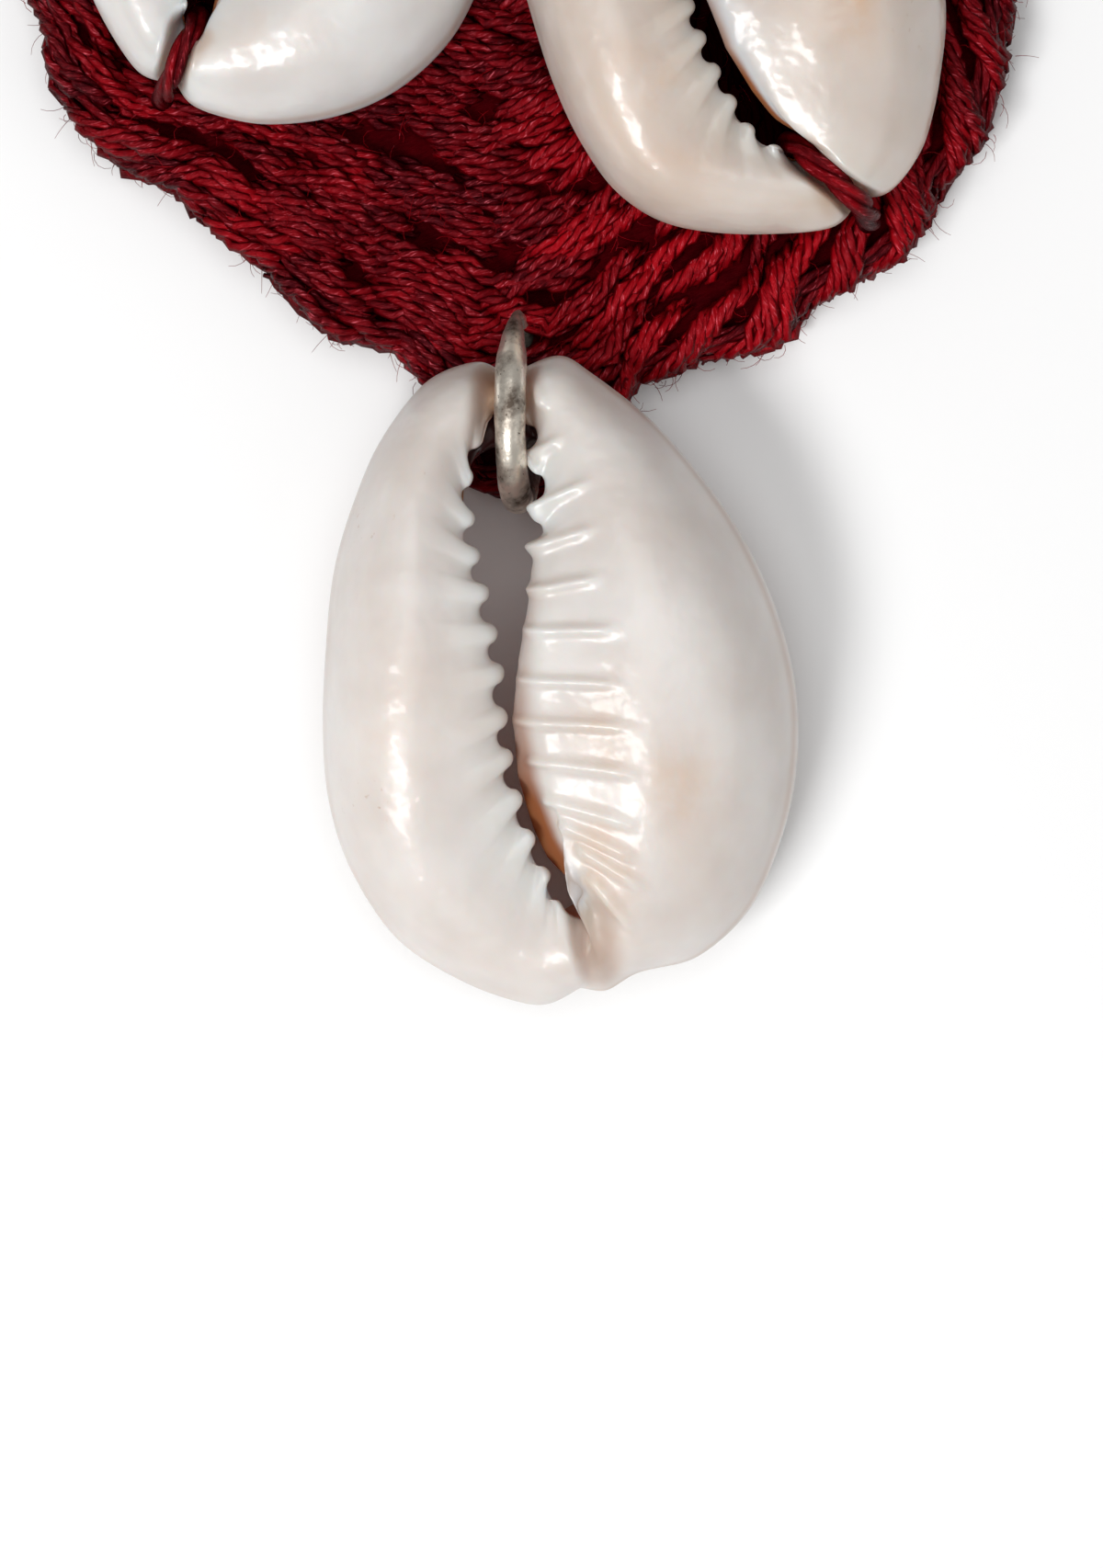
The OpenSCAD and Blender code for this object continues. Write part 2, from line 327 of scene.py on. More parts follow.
class Graph:
    """A material's or group's node tree, with short calls that add nodes and link them."""

    def __init__(self, tree: bpy.types.NodeTree) -> None:
        """Keeps the tree."""
        self.tree = tree

    def add(self, kind: str, settings: dict | None = None, **inputs: object) -> bpy.types.Node:
        """Adds a node.

        Args:
            kind: the node's type name, without ShaderNode.
            settings: attributes of the node.
            **inputs: values or output sockets, by input name with _ for a space.

        Returns:
            The new node.
        """
        node = self.tree.nodes.new("ShaderNode" + kind)
        for key, value in (settings or {}).items():
            setattr(node, key, value)
        for key, value in inputs.items():
            self.feed(socket(node, key.replace("_", " ")), value)
        return node

    def feed(self, target: bpy.types.NodeSocket, value: object) -> None:
        """Links a socket to the target, or sets the target's own value.

        Args:
            target: an input.
            value: a value or an output socket.
        """
        if isinstance(value, bpy.types.NodeSocket):
            self.tree.links.new(value, target)
        else:
            target.default_value = value

    def math(self, operation: str, a: object, b: object = 0.0, clamp: bool = False) -> bpy.types.NodeSocket:
        """Adds a math node.

        Args:
            operation: Blender's name of the operation.
            a: first value or socket.
            b: second value or socket.
            clamp: keep the result between 0 and 1.

        Returns:
            The result.
        """
        node = self.tree.nodes.new("ShaderNodeMath")
        node.operation, node.use_clamp = operation, clamp
        self.feed(node.inputs[0], a)
        self.feed(node.inputs[1], b)
        return node.outputs[0]

    def blend(self, factor: object, a: object, b: object) -> bpy.types.NodeSocket:
        """Mixes two colours.

        Args:
            factor: 0 for a and 1 for b.
            a: colour or socket.
            b: colour or socket.

        Returns:
            The mixed colour.
        """
        node = self.tree.nodes.new("ShaderNodeMix")
        node.data_type = "RGBA"
        for k, value in ((0, factor), (6, a), (7, b)):
            self.feed(node.inputs[k], value)
        return node.outputs[2]

    def ramp(self, value: bpy.types.NodeSocket, low: float, high: float) -> bpy.types.NodeSocket:
        """A number stretched so that low becomes 0 and high becomes 1, kept between them."""
        return self.add("MapRange", Value=value, From_Min=low, From_Max=high).outputs[0]

    def number(self, name: str) -> bpy.types.NodeSocket:
        """A named number kept at the mesh's points."""
        return self.add("Attribute", {"attribute_name": name}).outputs["Fac"]


def rgb(red: float, green: float, blue: float) -> tuple[float, float, float, float]:
    """A colour given as 0 to 255, as the linear values that Blender takes."""
    linear = [c / 12.92 if c <= 0.04045 else ((c + 0.055) / 1.055) ** 2.4 for c in (red / 255, green / 255, blue / 255)]
    return (*linear, 1.0)


def speckle_group() -> bpy.types.NodeTree:
    """A node group that puts out two masks, of soft patches and of fine specks, from a place and a scale.

    Returns:
        The group, built the first time and kept.
    """
    name = "patches and specks"
    if name in bpy.data.node_groups:
        return bpy.data.node_groups[name]
    tree = bpy.data.node_groups.new(name, "ShaderNodeTree")
    for key, way, kind in (("Place", "INPUT", "Vector"), ("Scale", "INPUT", "Float"),
                           ("Patches", "OUTPUT", "Float"), ("Specks", "OUTPUT", "Float")):
        tree.interface.new_socket(key, in_out=way, socket_type="NodeSocket" + kind)
    graph = Graph(tree)
    given = tree.nodes.new("NodeGroupInput")
    result = tree.nodes.new("NodeGroupOutput")
    wide = graph.add("TexNoise", Vector=given.outputs["Place"], Scale=given.outputs["Scale"], Detail=4.0, Roughness=0.6)
    fine_scale = graph.math("MULTIPLY", given.outputs["Scale"], 9.0)
    fine = graph.add("TexNoise", Vector=given.outputs["Place"], Scale=fine_scale, Detail=2.0)
    tree.links.new(graph.ramp(wide.outputs[0], 0.42, 0.66), result.inputs["Patches"])
    tree.links.new(graph.ramp(fine.outputs[0], 0.66, 0.78), result.inputs["Specks"])
    return tree


def use_group(graph: Graph, place: bpy.types.NodeSocket, scale: float) -> bpy.types.Node:
    """Places the speckle group in a material.

    Args:
        graph: the material's graph.
        place: coordinates.
        scale: patches for each unit of the coordinates.

    Returns:
        The group node.
    """
    node = graph.tree.nodes.new("ShaderNodeGroup")
    node.node_tree = speckle_group()
    graph.tree.links.new(place, node.inputs["Place"])
    node.inputs["Scale"].default_value = scale
    return node


def start_material(name: str) -> tuple[bpy.types.Material, Graph, bpy.types.Node]:
    """Starts a finish.

    Args:
        name: the material's name.

    Returns:
        A new material, its graph and its Principled shader.
    """
    material = bpy.data.materials.new(name)
    material.use_nodes = True
    shader = next(n for n in material.node_tree.nodes if n.type == "BSDF_PRINCIPLED")
    return material, Graph(material.node_tree), shader


def link(graph: Graph, value: bpy.types.NodeSocket, shader: bpy.types.Node, name: str) -> None:
    """Links a value to the shader's input of that name."""
    graph.feed(socket(shader, name), value)


@dataclass(frozen=True)
class ShellFinish:
    """Glossy cowrie: ivory, with peach and cool bands, brown in the slit, tan in the canals and small pits.
    Inside the narrow end it has painted shade.

    The grain, in proportion to dimples, bumps the clear coat, and the body under it about a third as much.
    """

    name: str
    body: tuple[float, float, float, float] = rgb(208, 200, 194)
    pale: tuple[float, float, float, float] = rgb(218, 213, 209)
    peach: tuple[float, float, float, float] = rgb(206, 172, 142)
    cool: tuple[float, float, float, float] = rgb(190, 198, 208)
    tan: tuple[float, float, float, float] = rgb(172, 134, 106)
    brown: tuple[float, float, float, float] = rgb(146, 88, 54)
    lining: tuple[float, float, float, float] = rgb(208, 118, 66)
    # Painted shade, dark maroon, on the inside of the wall at the narrow end
    shade: tuple[float, float, float, float] = rgb(44, 14, 14)
    roughness: float = 0.34
    gloss: float = 0.32
    dimples: float = 0.45

    def material(self) -> bpy.types.Material:
        """Builds the material on Object coordinates, in millimetres, and the shell's named numbers.

        Returns:
            The new material.
        """
        material, graph, shader = start_material(self.name)
        metres = graph.add("TexCoord").outputs["Object"]
        place = graph.add("Mapping", Vector=metres, Scale=(1000.0, 1000.0, 1000.0)).outputs[0]
        marks = use_group(graph, place, 0.42)
        cloud = graph.add("TexNoise", Vector=place, Scale=0.3, Detail=3.0).outputs[0]
        colour = graph.blend(graph.ramp(cloud, 0.35, 0.65), self.body, self.pale)
        warm = graph.math("MULTIPLY", graph.number("peach"), graph.math("ADD", marks.outputs["Patches"], 0.45))
        colour = graph.blend(graph.math("MINIMUM", warm, 1.0), colour, self.peach)
        # The dark mask lays on painted shade; the other masks are the shell's own colours
        for mask, shade in (("cool", self.cool), ("canal", self.tan), ("verge", self.brown),
                            ("inside", self.lining), ("dark", self.shade)):
            colour = graph.blend(graph.number(mask), colour, shade)
        pits = graph.math("MULTIPLY", marks.outputs["Specks"], graph.number("pits"))
        colour = graph.blend(graph.math("MULTIPLY", pits, 0.55), colour, self.tan)
        link(graph, colour, shader, "Base Color")
        grain = graph.add("TexNoise", Vector=place, Scale=0.8, Detail=2.0).outputs[0]
        for strength, name in ((0.35 * self.dimples, "Normal"), (self.dimples, "Coat Normal")):
            bump = graph.add("Bump", Strength=strength, Distance=0.0003, Height=grain)
            link(graph, bump.outputs[0], shader, name)
        rough = graph.add("MapRange", Value=grain, To_Min=self.roughness - 0.04, To_Max=self.roughness + 0.06)
        link(graph, rough.outputs[0], shader, "Roughness")
        shader.inputs["Subsurface Weight"].default_value = 0.45
        shader.inputs["Subsurface Radius"].default_value = (1.0, 0.5, 0.32)
        shader.inputs["Subsurface Scale"].default_value = 0.003
        shader.inputs["Coat Weight"].default_value = self.gloss
        shader.inputs["Coat Roughness"].default_value = 0.14
        shader.inputs["IOR"].default_value = 1.53
        return material


@dataclass(frozen=True)
class YarnFinish:
    """Plied burgundy yarn: fibre streaks, deep red, painted light on the crests, painted glints, painted shade in
    grooves.
    """

    name: str
    # Colour of the painted shade deep in grooves, at stitch ends and under the cowries
    dark: tuple[float, float, float, float] = rgb(36, 0, 3)
    # Deep and bright span the yarn's own tone, and painted light pushes it towards bright where a ply faces up
    deep: tuple[float, float, float, float] = rgb(50, 0, 4)
    bright: tuple[float, float, float, float] = rgb(186, 8, 22)
    # Colour of the painted glints
    pale: tuple[float, float, float, float] = rgb(230, 112, 126)

    def material(self) -> bpy.types.Material:
        """Builds the material on the yarn's own UV, in millimetres along and around, and its named numbers.

        Streaks are stretched along the fibres, which slant across a ply. Tone, streaks, clouds and felt add up to the
        yarn's own brightness, and painted light raises it where a ply faces up. Places deep in a groove get painted
        shade and lose their shine.

        Returns:
            The new material.
        """
        material, graph, shader = start_material(self.name)
        place = graph.add("UVMap", {"uv_map": "along"}).outputs[0]
        slanted = graph.add("Mapping", {"vector_type": "TEXTURE"}, Vector=place, Rotation=(0.0, 0.0, 0.42),
                            Scale=(0.42, 0.06, 1.0)).outputs[0]
        streaks = graph.add("TexNoise", Vector=slanted, Scale=1.0, Detail=4.0, Roughness=0.65).outputs[0]
        spread = graph.add("TexCoord").outputs["Object"]
        cloud = graph.add("TexNoise", Vector=spread, Scale=330.0, Detail=1.0).outputs[0]
        felt = graph.add("TexNoise", Vector=spread, Scale=2400.0, Detail=2.0).outputs[0]
        tone = graph.math("ADD", graph.number("tone"), graph.math("MULTIPLY", streaks, 1.2))
        tone = graph.math("ADD", tone, graph.math("MULTIPLY", graph.math("ADD", cloud, felt), 0.9))
        # Painted light: a ply is lighter where its surface faces up
        crest = graph.ramp(graph.number("crest"), 0.45, 1.0)
        facing = graph.math("ADD", graph.math("MULTIPLY", crest, 0.7), 0.3)
        lit = graph.math("MULTIPLY", graph.ramp(tone, 1.35, 2.65), facing)
        colour = graph.blend(lit, self.deep, self.bright)
        # Painted glints: pale dashes where the streaks peak on an upward-facing ply
        glint = graph.math("MULTIPLY", graph.ramp(streaks, 0.56, 0.68), crest)
        glint = graph.math("MULTIPLY", glint, graph.ramp(felt, 0.42, 0.55))
        colour = graph.blend(glint, colour, self.pale)
        # Painted shade, by the depth number
        colour = graph.blend(graph.math("MULTIPLY", graph.number("depth"), 0.95), colour, self.dark)
        link(graph, colour, shader, "Base Color")
        bump = graph.add("Bump", Strength=0.9, Distance=0.00007, Height=streaks)
        link(graph, bump.outputs[0], shader, "Normal")
        link(graph, graph.add("MapRange", Value=streaks, To_Min=0.42, To_Max=0.12).outputs[0], shader, "Roughness")
        shine = graph.add("MapRange", Value=graph.number("depth"), To_Min=0.95, To_Max=0.0).outputs[0]
        shine = graph.math("MULTIPLY", shine, graph.math("ADD", graph.math("MULTIPLY", crest, 0.8), 0.15))
        link(graph, graph.math("MULTIPLY", shine, graph.ramp(streaks, 0.3, 0.6)), shader, "Specular IOR Level")
        shader.inputs["Specular Tint"].default_value = rgb(255, 116, 130)
        return material


@dataclass(frozen=True)
class MetalFinish:
    """Worn plated wire: champagne silver, rubbed bright, with dark grey-brown patches where the plating is gone."""

    name: str
    plate: tuple[float, float, float, float] = rgb(238, 229, 215)
    worn: tuple[float, float, float, float] = rgb(98, 86, 76)
    wear: float = 1.0

    def material(self) -> bpy.types.Material:
        """Builds the material on Object coordinates, in metres.

        Returns:
            The new material.
        """
        material, graph, shader = start_material(self.name)
        place = graph.add("TexCoord").outputs["Object"]
        marks = use_group(graph, place, 900.0)
        mask = graph.math("ADD", marks.outputs["Patches"], marks.outputs["Specks"], clamp=True)
        mask = graph.math("MULTIPLY", mask, self.wear)
        link(graph, graph.blend(mask, self.plate, self.worn), shader, "Base Color")
        link(graph, graph.add("MapRange", Value=mask, To_Min=0.3, To_Max=0.6).outputs[0], shader, "Roughness")
        scratch = graph.add("TexNoise", Vector=place, Scale=5200.0, Detail=3.0).outputs[0]
        bump = graph.add("Bump", Strength=0.5, Distance=0.00003, Height=scratch)
        link(graph, bump.outputs[0], shader, "Normal")
        shader.inputs["Metallic"].default_value = 0.85
        return material


# Cowries

# Half outlines from the notch in the wide end to the groove in the narrow end. Columns: x, y
LIP_SIDE = [
    (0.6, -10.4), (-0.9, -11.0), (-3.4, -10.2), (-5.6, -8.75), (-7.1, -6.55), (-7.85, -4.3), (-8.1, -1.8),
    (-8.0, 0.9), (-7.75, 3.5), (-7.1, 5.9), (-6.1, 8.2), (-4.6, 10.1), (-2.9, 10.8), (-1.85, 10.3),
]
WHORL_SIDE = [
    (0.6, -10.4), (1.5, -10.5), (2.6, -9.9), (4.6, -9.35), (6.3, -7.8), (7.35, -5.5), (7.9, -2.9),
    (7.85, -0.2), (7.2, 2.4), (6.1, 4.8), (4.6, 7.0), (2.9, 8.9), (1.0, 10.4), (-0.2, 11.0), (-1.85, 10.3),
]
# The whorl's side of a cowrie whose wide end has no dent beside its notch
PLAIN_WHORL_SIDE = [
    (0.6, -10.1), (1.7, -10.5), (3.2, -10.0), (4.9, -8.95), (6.2, -7.5), (7.15, -5.5), (7.8, -2.9),
    (7.85, -0.2), (7.2, 2.4), (6.1, 4.8), (4.6, 7.0), (2.9, 8.9), (1.0, 10.4), (-0.2, 11.0), (-1.85, 10.3),
]
# Edges of the slit. Columns: y, x of the lip, x of the inner whorl
SLIT = np.array([
    (-8.3, 0.25, 1.45), (-7.0, -0.35, 1.1), (-5, -1.15, 0), (-3, -1.75, -0.85), (-1, -2.05, -1.25),
    (1, -2.2, -1.25), (3, -2.6, -0.95), (5, -3.1, -0.85), (7, -3.2, -0.8), (8.6, -2.8, -1.1), (9.3, -2.6, -1.2),
])
# Width of the brown inner edge that slopes into the slit on the whorl's side, by place along the slit
COLUMELLA = np.array([(0.0, 0.06, 0.12, 0.2, 0.37, 0.5, 0.75, 0.8), (0.0, 0.45, 0.9, 0.85, 0.48, 0.26, 0.12, 0.0)])
# How brown that edge is, by place along the slit
BROWN = np.array([(0.0, 0.02, 0.1, 0.2, 0.37, 0.5, 0.75, 0.8), (0.3, 0.9, 1.0, 0.85, 0.48, 0.26, 0.12, 0.0)])
# Places of the lip's tooth tips along Y
TOOTH_TIPS = [-8.6, -7.44, -6.32, -5.05, -3.69, -2.29, -0.96, 0.59, 1.92, 3.29, 4.5, 5.7, 7.04, 8.3]
# Places along Y of the few teeth that the inner whorl has near the narrow end
WHORL_TIPS = [2.2, 3.35, 4.7, 5.85, 7.55, 9.1]
# Middle line of the groove in the narrow end
GROOVE_LINE = ((-1.85, 8.2), (-1.95, 12.0))
# Ribs on the inner whorl. Columns: start x, y and end x, y
WHORL_RIBS = np.array([
    (-1.3, 7.55, 0.1, 8.5), (-1.3, 5.85, 1.1, 7.1), (-1.1, 4.7, 1.2, 5.5), (-1.0, 3.35, 1.4, 3.85),
    (-1.1, 2.0, 2.0, 2.12), (-1.3, 0.35, 2.1, 0.3), (-1.4, -1.05, 2.45, -1.15), (-1.0, -2.4, 2.7, -2.75),
    (-0.5, -3.75, 2.7, -4.55), (0.1, -4.6, 2.6, -5.7), (0.7, -5.45, 3.0, -6.8), (1.0, -6.4, 2.5, -8.3),
    (-0.95, 10.7, -0.65, 9.2),
])


def tooth_wave(y: np.ndarray, tips: list[float], power: float) -> np.ndarray:
    """A cosine c with a crest at each tip, made squarer as sign(c) |c|^power."""
    wave = np.cos(2 * np.pi * np.interp(y, tips, np.arange(len(tips))))
    return np.sign(wave) * np.abs(wave) ** power


@dataclass
class Cowrie:
    """A cowrie whose back is cut open, as one closed surface with a through slit.

    Around it, columns go from the wide end up the lip's side and down the whorl's side. Down each column, rows go
    from the outer edge of the cut, over the flank and the toothed face, through the slit and back inside. Its shape
    is worked out for a reference shell of 22 x 16 mm, and then takes this shell's length and width.

    Groove and notch are pairs of half width and depth. Stains are rows of x, y, reach and strength, and pits of x,
    y and reach. Bend is how far the middle line moves sideways, from the wide end to the narrow one.
    """

    node: str
    finish: ShellFinish
    place: tuple[float, float]
    turn: float
    length: float
    width: float
    notch: tuple[float, float]
    tilt: float = 0.0
    lift: float = CLOTH_THICKNESS + GAP
    # Height of the lip's teeth, how far they reach, and where they fade at the narrow end
    tooth: float = 0.22
    tooth_reach: float = 0.11
    tooth_end: float = 0.05
    # Heights of the whorl's few teeth and of its ribs
    high_tooth: float = 0.0
    rib: float = 0.0
    whorl: list[tuple[float, float]] = field(default_factory=lambda: PLAIN_WHORL_SIDE)
    groove: tuple[float, float] = (0.8, 1.0)
    notch_line: tuple[tuple[float, float], tuple[float, float]] = ((0.4, -8.0), (0.75, -12.0))
    # Share of the notch's half width on the lip's side
    lean: float = 1.0
    bend: tuple[float, ...] = (0.0, 0.0)
    columella: float = 0.25
    coolness: float = 0.0
    stains: tuple[tuple[float, float, float, float], ...] = ()
    pits: tuple[tuple[float, float, float], ...] = ()
    reference_length: float = 22.0
    reference_width: float = 16.0
    slit_low: float = -8.3
    slit_high: float = 8.6
    crown_height: float = 6.8
    # Share of the fall to the slit that the whorl's side has lost by three quarters of the way
    whorl_bank: float = 0.25
    widest_height: float = 2.5
    columns_per_side: int = 200
    rows: int = 110

    def bent(self, points: np.ndarray) -> np.ndarray:
        """Reference points moved sideways by the shell's bend, which fades as 1 - (x / 8.2)^2 from the middle line.

        Args:
            points: any array whose last axis is x, y, z.

        Returns:
            The moved points.
        """
        shift = spline(np.array(self.bend), (points[..., 1].ravel() + 11) / 12).reshape(points.shape[:-1])
        out = points.copy()
        out[..., 0] += shift * np.clip(1 - (points[..., 0] / 8.2) ** 2, 0, 1)
        return out

    def set_down(self, points: np.ndarray) -> np.ndarray:
        """Reference points at this shell's size, tilted, turned and moved to its place.

        Args:
            points: any array whose last axis is x, y, z.

        Returns:
            The moved points. Their heights are scaled by the mean of the two other scales.
        """
        across, along = self.width / self.reference_width, self.length / self.reference_length
        sized = points * (across, along, (across + along) / 2)
        return turned(turned(sized, self.tilt, 0), self.turn, 2) + (*self.place, self.lift)

    def opening(self, points: np.ndarray) -> np.ndarray:
        """How far points lie from the shell's middle: 1 on an ellipse near the cut's edge.

        Args:
            points: any array whose last axis is x, y, z, in the part's frame.

        Returns:
            The distances.
        """
        local = turned((points - (*self.place, 0)) * (1, 1, 0), -self.turn, 2)
        return np.hypot(local[..., 0] / (self.width * 0.45), local[..., 1] / (self.length * 0.41))

    def controls(self) -> tuple[np.ndarray, np.ndarray, np.ndarray]:
        """Cross sections of the wall, as in the solids.

        The crown is 6.8 high and falls by a power of the distance from the middle. The slit's two edges close as
        half ellipses. The toothed face sinks by depth * exp(-(d / w)^4) at a distance d from each end's canal.

        Returns:
            13 rows by columns by xyz, the columns' place t from 0 to 1, and the side, -1 or 1.
        """
        forth = np.arange(self.columns_per_side) / self.columns_per_side
        t = np.concatenate([forth, 1 - forth])
        side = np.repeat([-1.0, 1.0], self.columns_per_side)
        edge = np.where(side[:, None] < 0, spline(LIP_SIDE, t), spline(self.whorl, t))
        y = self.slit_low + (self.slit_high - self.slit_low) * t
        lip_x, whorl_x = np.interp(y, SLIT[:, 0], SLIT[:, 1]), np.interp(y, SLIT[:, 0], SLIT[:, 2])
        near_end = np.clip(np.minimum(t / 0.045, (1 - t) / 0.025), 0, 1)
        middle = (lip_x + whorl_x) / 2
        slit_x = middle + (np.where(side < 0, lip_x, whorl_x) - middle) * np.sqrt(1 - (1 - near_end) ** 2)
        shelf = np.where(side > 0, 1.0, 0.0) * self.columella * np.interp(t, *COLUMELLA)
        slit = np.stack([slit_x - shelf, y], axis=1)
        verge = np.stack([slit_x - 0.1 * shelf, y], axis=1)
        away = np.abs(edge[:, 1]) / 11
        drop = np.where(edge[:, 1] > 0, 2.3, 1.6)
        top = self.crown_height - drop * away**2.2
        fall = 1.3 * (1 - 0.8 * away**2)
        rim = top - fall - 0.9 * shelf
        middle_y = np.array([0.0, -0.5])
        outer = middle_y + (edge - middle_y) * (0.87, 0.8)
        inner = middle_y + (edge - middle_y) * (0.79, 0.74)
        widest = self.widest_height + 0 * top
        rise = top - widest
        bank = np.where(side > 0, self.whorl_bank, 0.25)

        def row(a: np.ndarray, b: np.ndarray, f: float, z: np.ndarray) -> np.ndarray:
            """A row that is f of the way from a to b, at height z."""
            return np.concatenate([a + (b - a) * f, z[:, None]], axis=1)

        rows = np.stack([
            row(outer, edge, 0.0, 0 * top), row(outer, edge, 0.74, 0.38 * widest), row(edge, slit, 0.0, widest),
            row(edge, slit, 0.08, widest + 0.5 * rise), row(edge, slit, 0.24, widest + 0.86 * rise),
            row(edge, slit, 0.48, top), row(edge, slit, 0.76, top - bank * fall),
            row(edge, verge, 0.95, top - 0.6 * fall),
            row(slit, inner, 0.0, rim), row(slit, inner, 0.12, 0.9 * rim), row(slit, inner, 0.55, 0.84 * rim),
            row(slit, inner, 0.9, 0.48 * rim), row(slit, inner, 1.0, 0 * top),
        ])
        sink = sum(depth * mask for (_, depth), mask in zip((self.groove, self.notch), self.canals(rows)))
        sink[:3] = 0
        sink[9:] = sink[8]
        rows[..., 2] -= sink * np.array([1] * 9 + [0.9, 0.84, 0.48, 0])[:, None]
        return self.bent(rows), t, side

    def canals(self, points: np.ndarray) -> tuple[np.ndarray, np.ndarray]:
        """Masks exp(-(d / w)^4) of the narrow end's groove and the wide end's notch, d from each one's middle line.

        Args:
            points: rows by columns by xyz, in reference millimetres.

        Returns:
            The groove's and the notch's mask, rows by columns.
        """
        masks = []
        lines = ((self.groove, GROOVE_LINE, 1.0), (self.notch, self.notch_line, self.lean))
        for (half, _), (start, end), lean in lines:
            span = np.array(end) - start
            flat = points[..., :2] - start
            along = np.clip(flat @ span / (span @ span), 0, 1)
            off = flat - along[..., None] * span
            reach = half * np.where(off[..., 0] < 0, lean, 1.0)
            masks.append(np.exp(-((np.linalg.norm(off, axis=-1) / reach) ** 4)))
        return tuple(masks)

    def relief(self, base: np.ndarray, down: np.ndarray, t: np.ndarray, side: np.ndarray) -> np.ndarray:
        """Height of the teeth and ribs above the smooth surface.

        Teeth are squared cosines with crests at the tooth tips, fading away from the slit's edge. The inner whorl
        has them near the narrow end alone. A rib is exp(-(d/w)^2) of the distance d from its line, fading at its
        outer end.

        Args:
            base: rows by columns by xyz, in reference millimetres.
            down: place of each row, from 0 at the cut's outer edge to 1 at its inner edge.
            t: place of each column.
            side: side of each column.

        Returns:
            Heights, rows by columns.
        """
        y = self.slit_low + (self.slit_high - self.slit_low) * t
        whorl_side = np.where(side > 0, 1.0, 0.0)
        # The slit's edge is section 8 of the 13
        slit_at = 8 / 12
        before = np.exp(-((np.clip(slit_at - down, 0, 1) / self.tooth_reach) ** 2))
        after = np.exp(-((np.clip(down - slit_at, 0, 1) / 0.09) ** 2))
        ends = smooth_step(0.0, 0.05, t) * smooth_step(0.0, self.tooth_end, 1 - t)
        lip = (1 - whorl_side) * self.tooth * (tooth_wave(y, TOOTH_TIPS, 0.6) - 0.15) * ends
        high = whorl_side * self.high_tooth * (tooth_wave(y, WHORL_TIPS, 0.65) - 0.1) * ends * smooth_step(3.9, 5.8, y)
        height = (lip + high) * (before * after)[:, None]
        upper = smooth_step(0.3, 0.42, down) * (1 - smooth_step(0.78, 0.84, down))
        start, end = WHORL_RIBS[:, :2], WHORL_RIBS[:, 2:]
        span = end - start
        flat = base[..., None, :2] - start
        along = np.einsum("abkc,kc->abk", flat, span) / (span**2).sum(1)
        off = flat - np.clip(along, 0, 1)[..., None] * span
        line = np.exp(-((np.linalg.norm(off, axis=-1) / 0.19) ** 2)) * (1 - smooth_step(0.72, 1.0, along))
        ribs = line.max(axis=-1) * upper[:, None] * whorl_side
        # A last, slight unevenness of the whole face
        lift = 0.02 * np.sin(1.9 * base[..., 0] + 0.7 * base[..., 1]) * np.sin(0.8 * base[..., 1] - 0.6 * base[..., 0])
        return height + self.rib * ribs + lift * smooth_step(0.1, 0.25, down)[:, None]

    def numbers(self, base: np.ndarray, down: np.ndarray, t: np.ndarray, side: np.ndarray) -> dict[str, np.ndarray]:
        """Masks for the finish, from 0 to 1, at every point.

        Args:
            base: rows by columns by xyz, in reference millimetres.
            down: place of each row, from 0 at the cut's outer edge to 1 at its inner edge.
            t: place of each column.
            side: side of each column.

        Returns:
            The masks by name. Stains and pits are exp(-(d / reach)^2) of the distance d from their middles.
        """
        shape = base.shape[:2]
        top_rows = smooth_step(0.18, 0.3, down) * (1 - smooth_step(0.8, 0.9, down))
        rim_line = 0.4 * np.exp(-(((down - 0.195) / 0.012) ** 2))[:, None] * np.where(side > 0, 1.0, 0.3)
        groove, notch = self.canals(base)
        canal = np.clip(top_rows[:, None] * (groove + 0.55 * notch) + rim_line, 0, 1)
        inside = smooth_step(0.7, 0.76, down)[:, None] + 0 * t
        # Painted shade on the inside of the wall at the narrow end, seen down the slit
        dark = smooth_step(0.675, 0.72, down)[:, None] * smooth_step(0.74, 0.88, t)[None]
        brown_edge = smooth_step(0.585, 0.63, down)[:, None] * np.where(side > 0, np.interp(t, *BROWN), 0.1) * 1.3
        peach = np.zeros(shape)
        for x, y, reach, strength in self.stains:
            away = np.hypot(base[..., 0] - x, (base[..., 1] - y) * 0.7) / reach
            peach = np.maximum(peach, strength * np.exp(-(away**2)))
        pits = np.zeros(shape)
        for x, y, reach in self.pits:
            pits = np.maximum(pits, np.exp(-((np.hypot(base[..., 0] - x, base[..., 1] - y) / reach) ** 2)))
        near_slit = np.exp(-(((down - 0.6) / 0.07) ** 2))[:, None] * np.where(side > 0, 1.0, 0.2)
        cool = np.clip(self.coolness * near_slit, 0, 1)
        return {
            "peach": np.clip(peach, 0, 1).ravel(),
            "cool": (cool * np.ones(shape)).ravel(),
            "canal": canal.ravel(),
            "verge": np.clip(np.maximum(brown_edge, 0.8 * smooth_step(0.67, 0.72, down)[:, None]), 0, 1).ravel(),
            "inside": inside.ravel(),
            "pits": pits.ravel(),
            "dark": dark.ravel(),
        }

    def surface(self) -> Surface:
        """The shell in its place.

        Returns:
            The closed surface: the spline of the cross sections, moved along its normals by the relief, scaled to
            this shell's size, tilted, turned and set down. Two rows across the cut's face close it.
        """
        controls, t, side = self.controls()
        down = np.linspace(0, 1, self.rows)
        base = spline(controls, down)
        face = np.stack([base[-1] + (base[0] - base[-1]) * f for f in (0.1, 0.9)])
        base = np.concatenate([base, face])
        normal = unit(np.cross(np.roll(base, -1, 1) - np.roll(base, 1, 1), np.roll(base, -1, 0) - np.roll(base, 1, 0)))
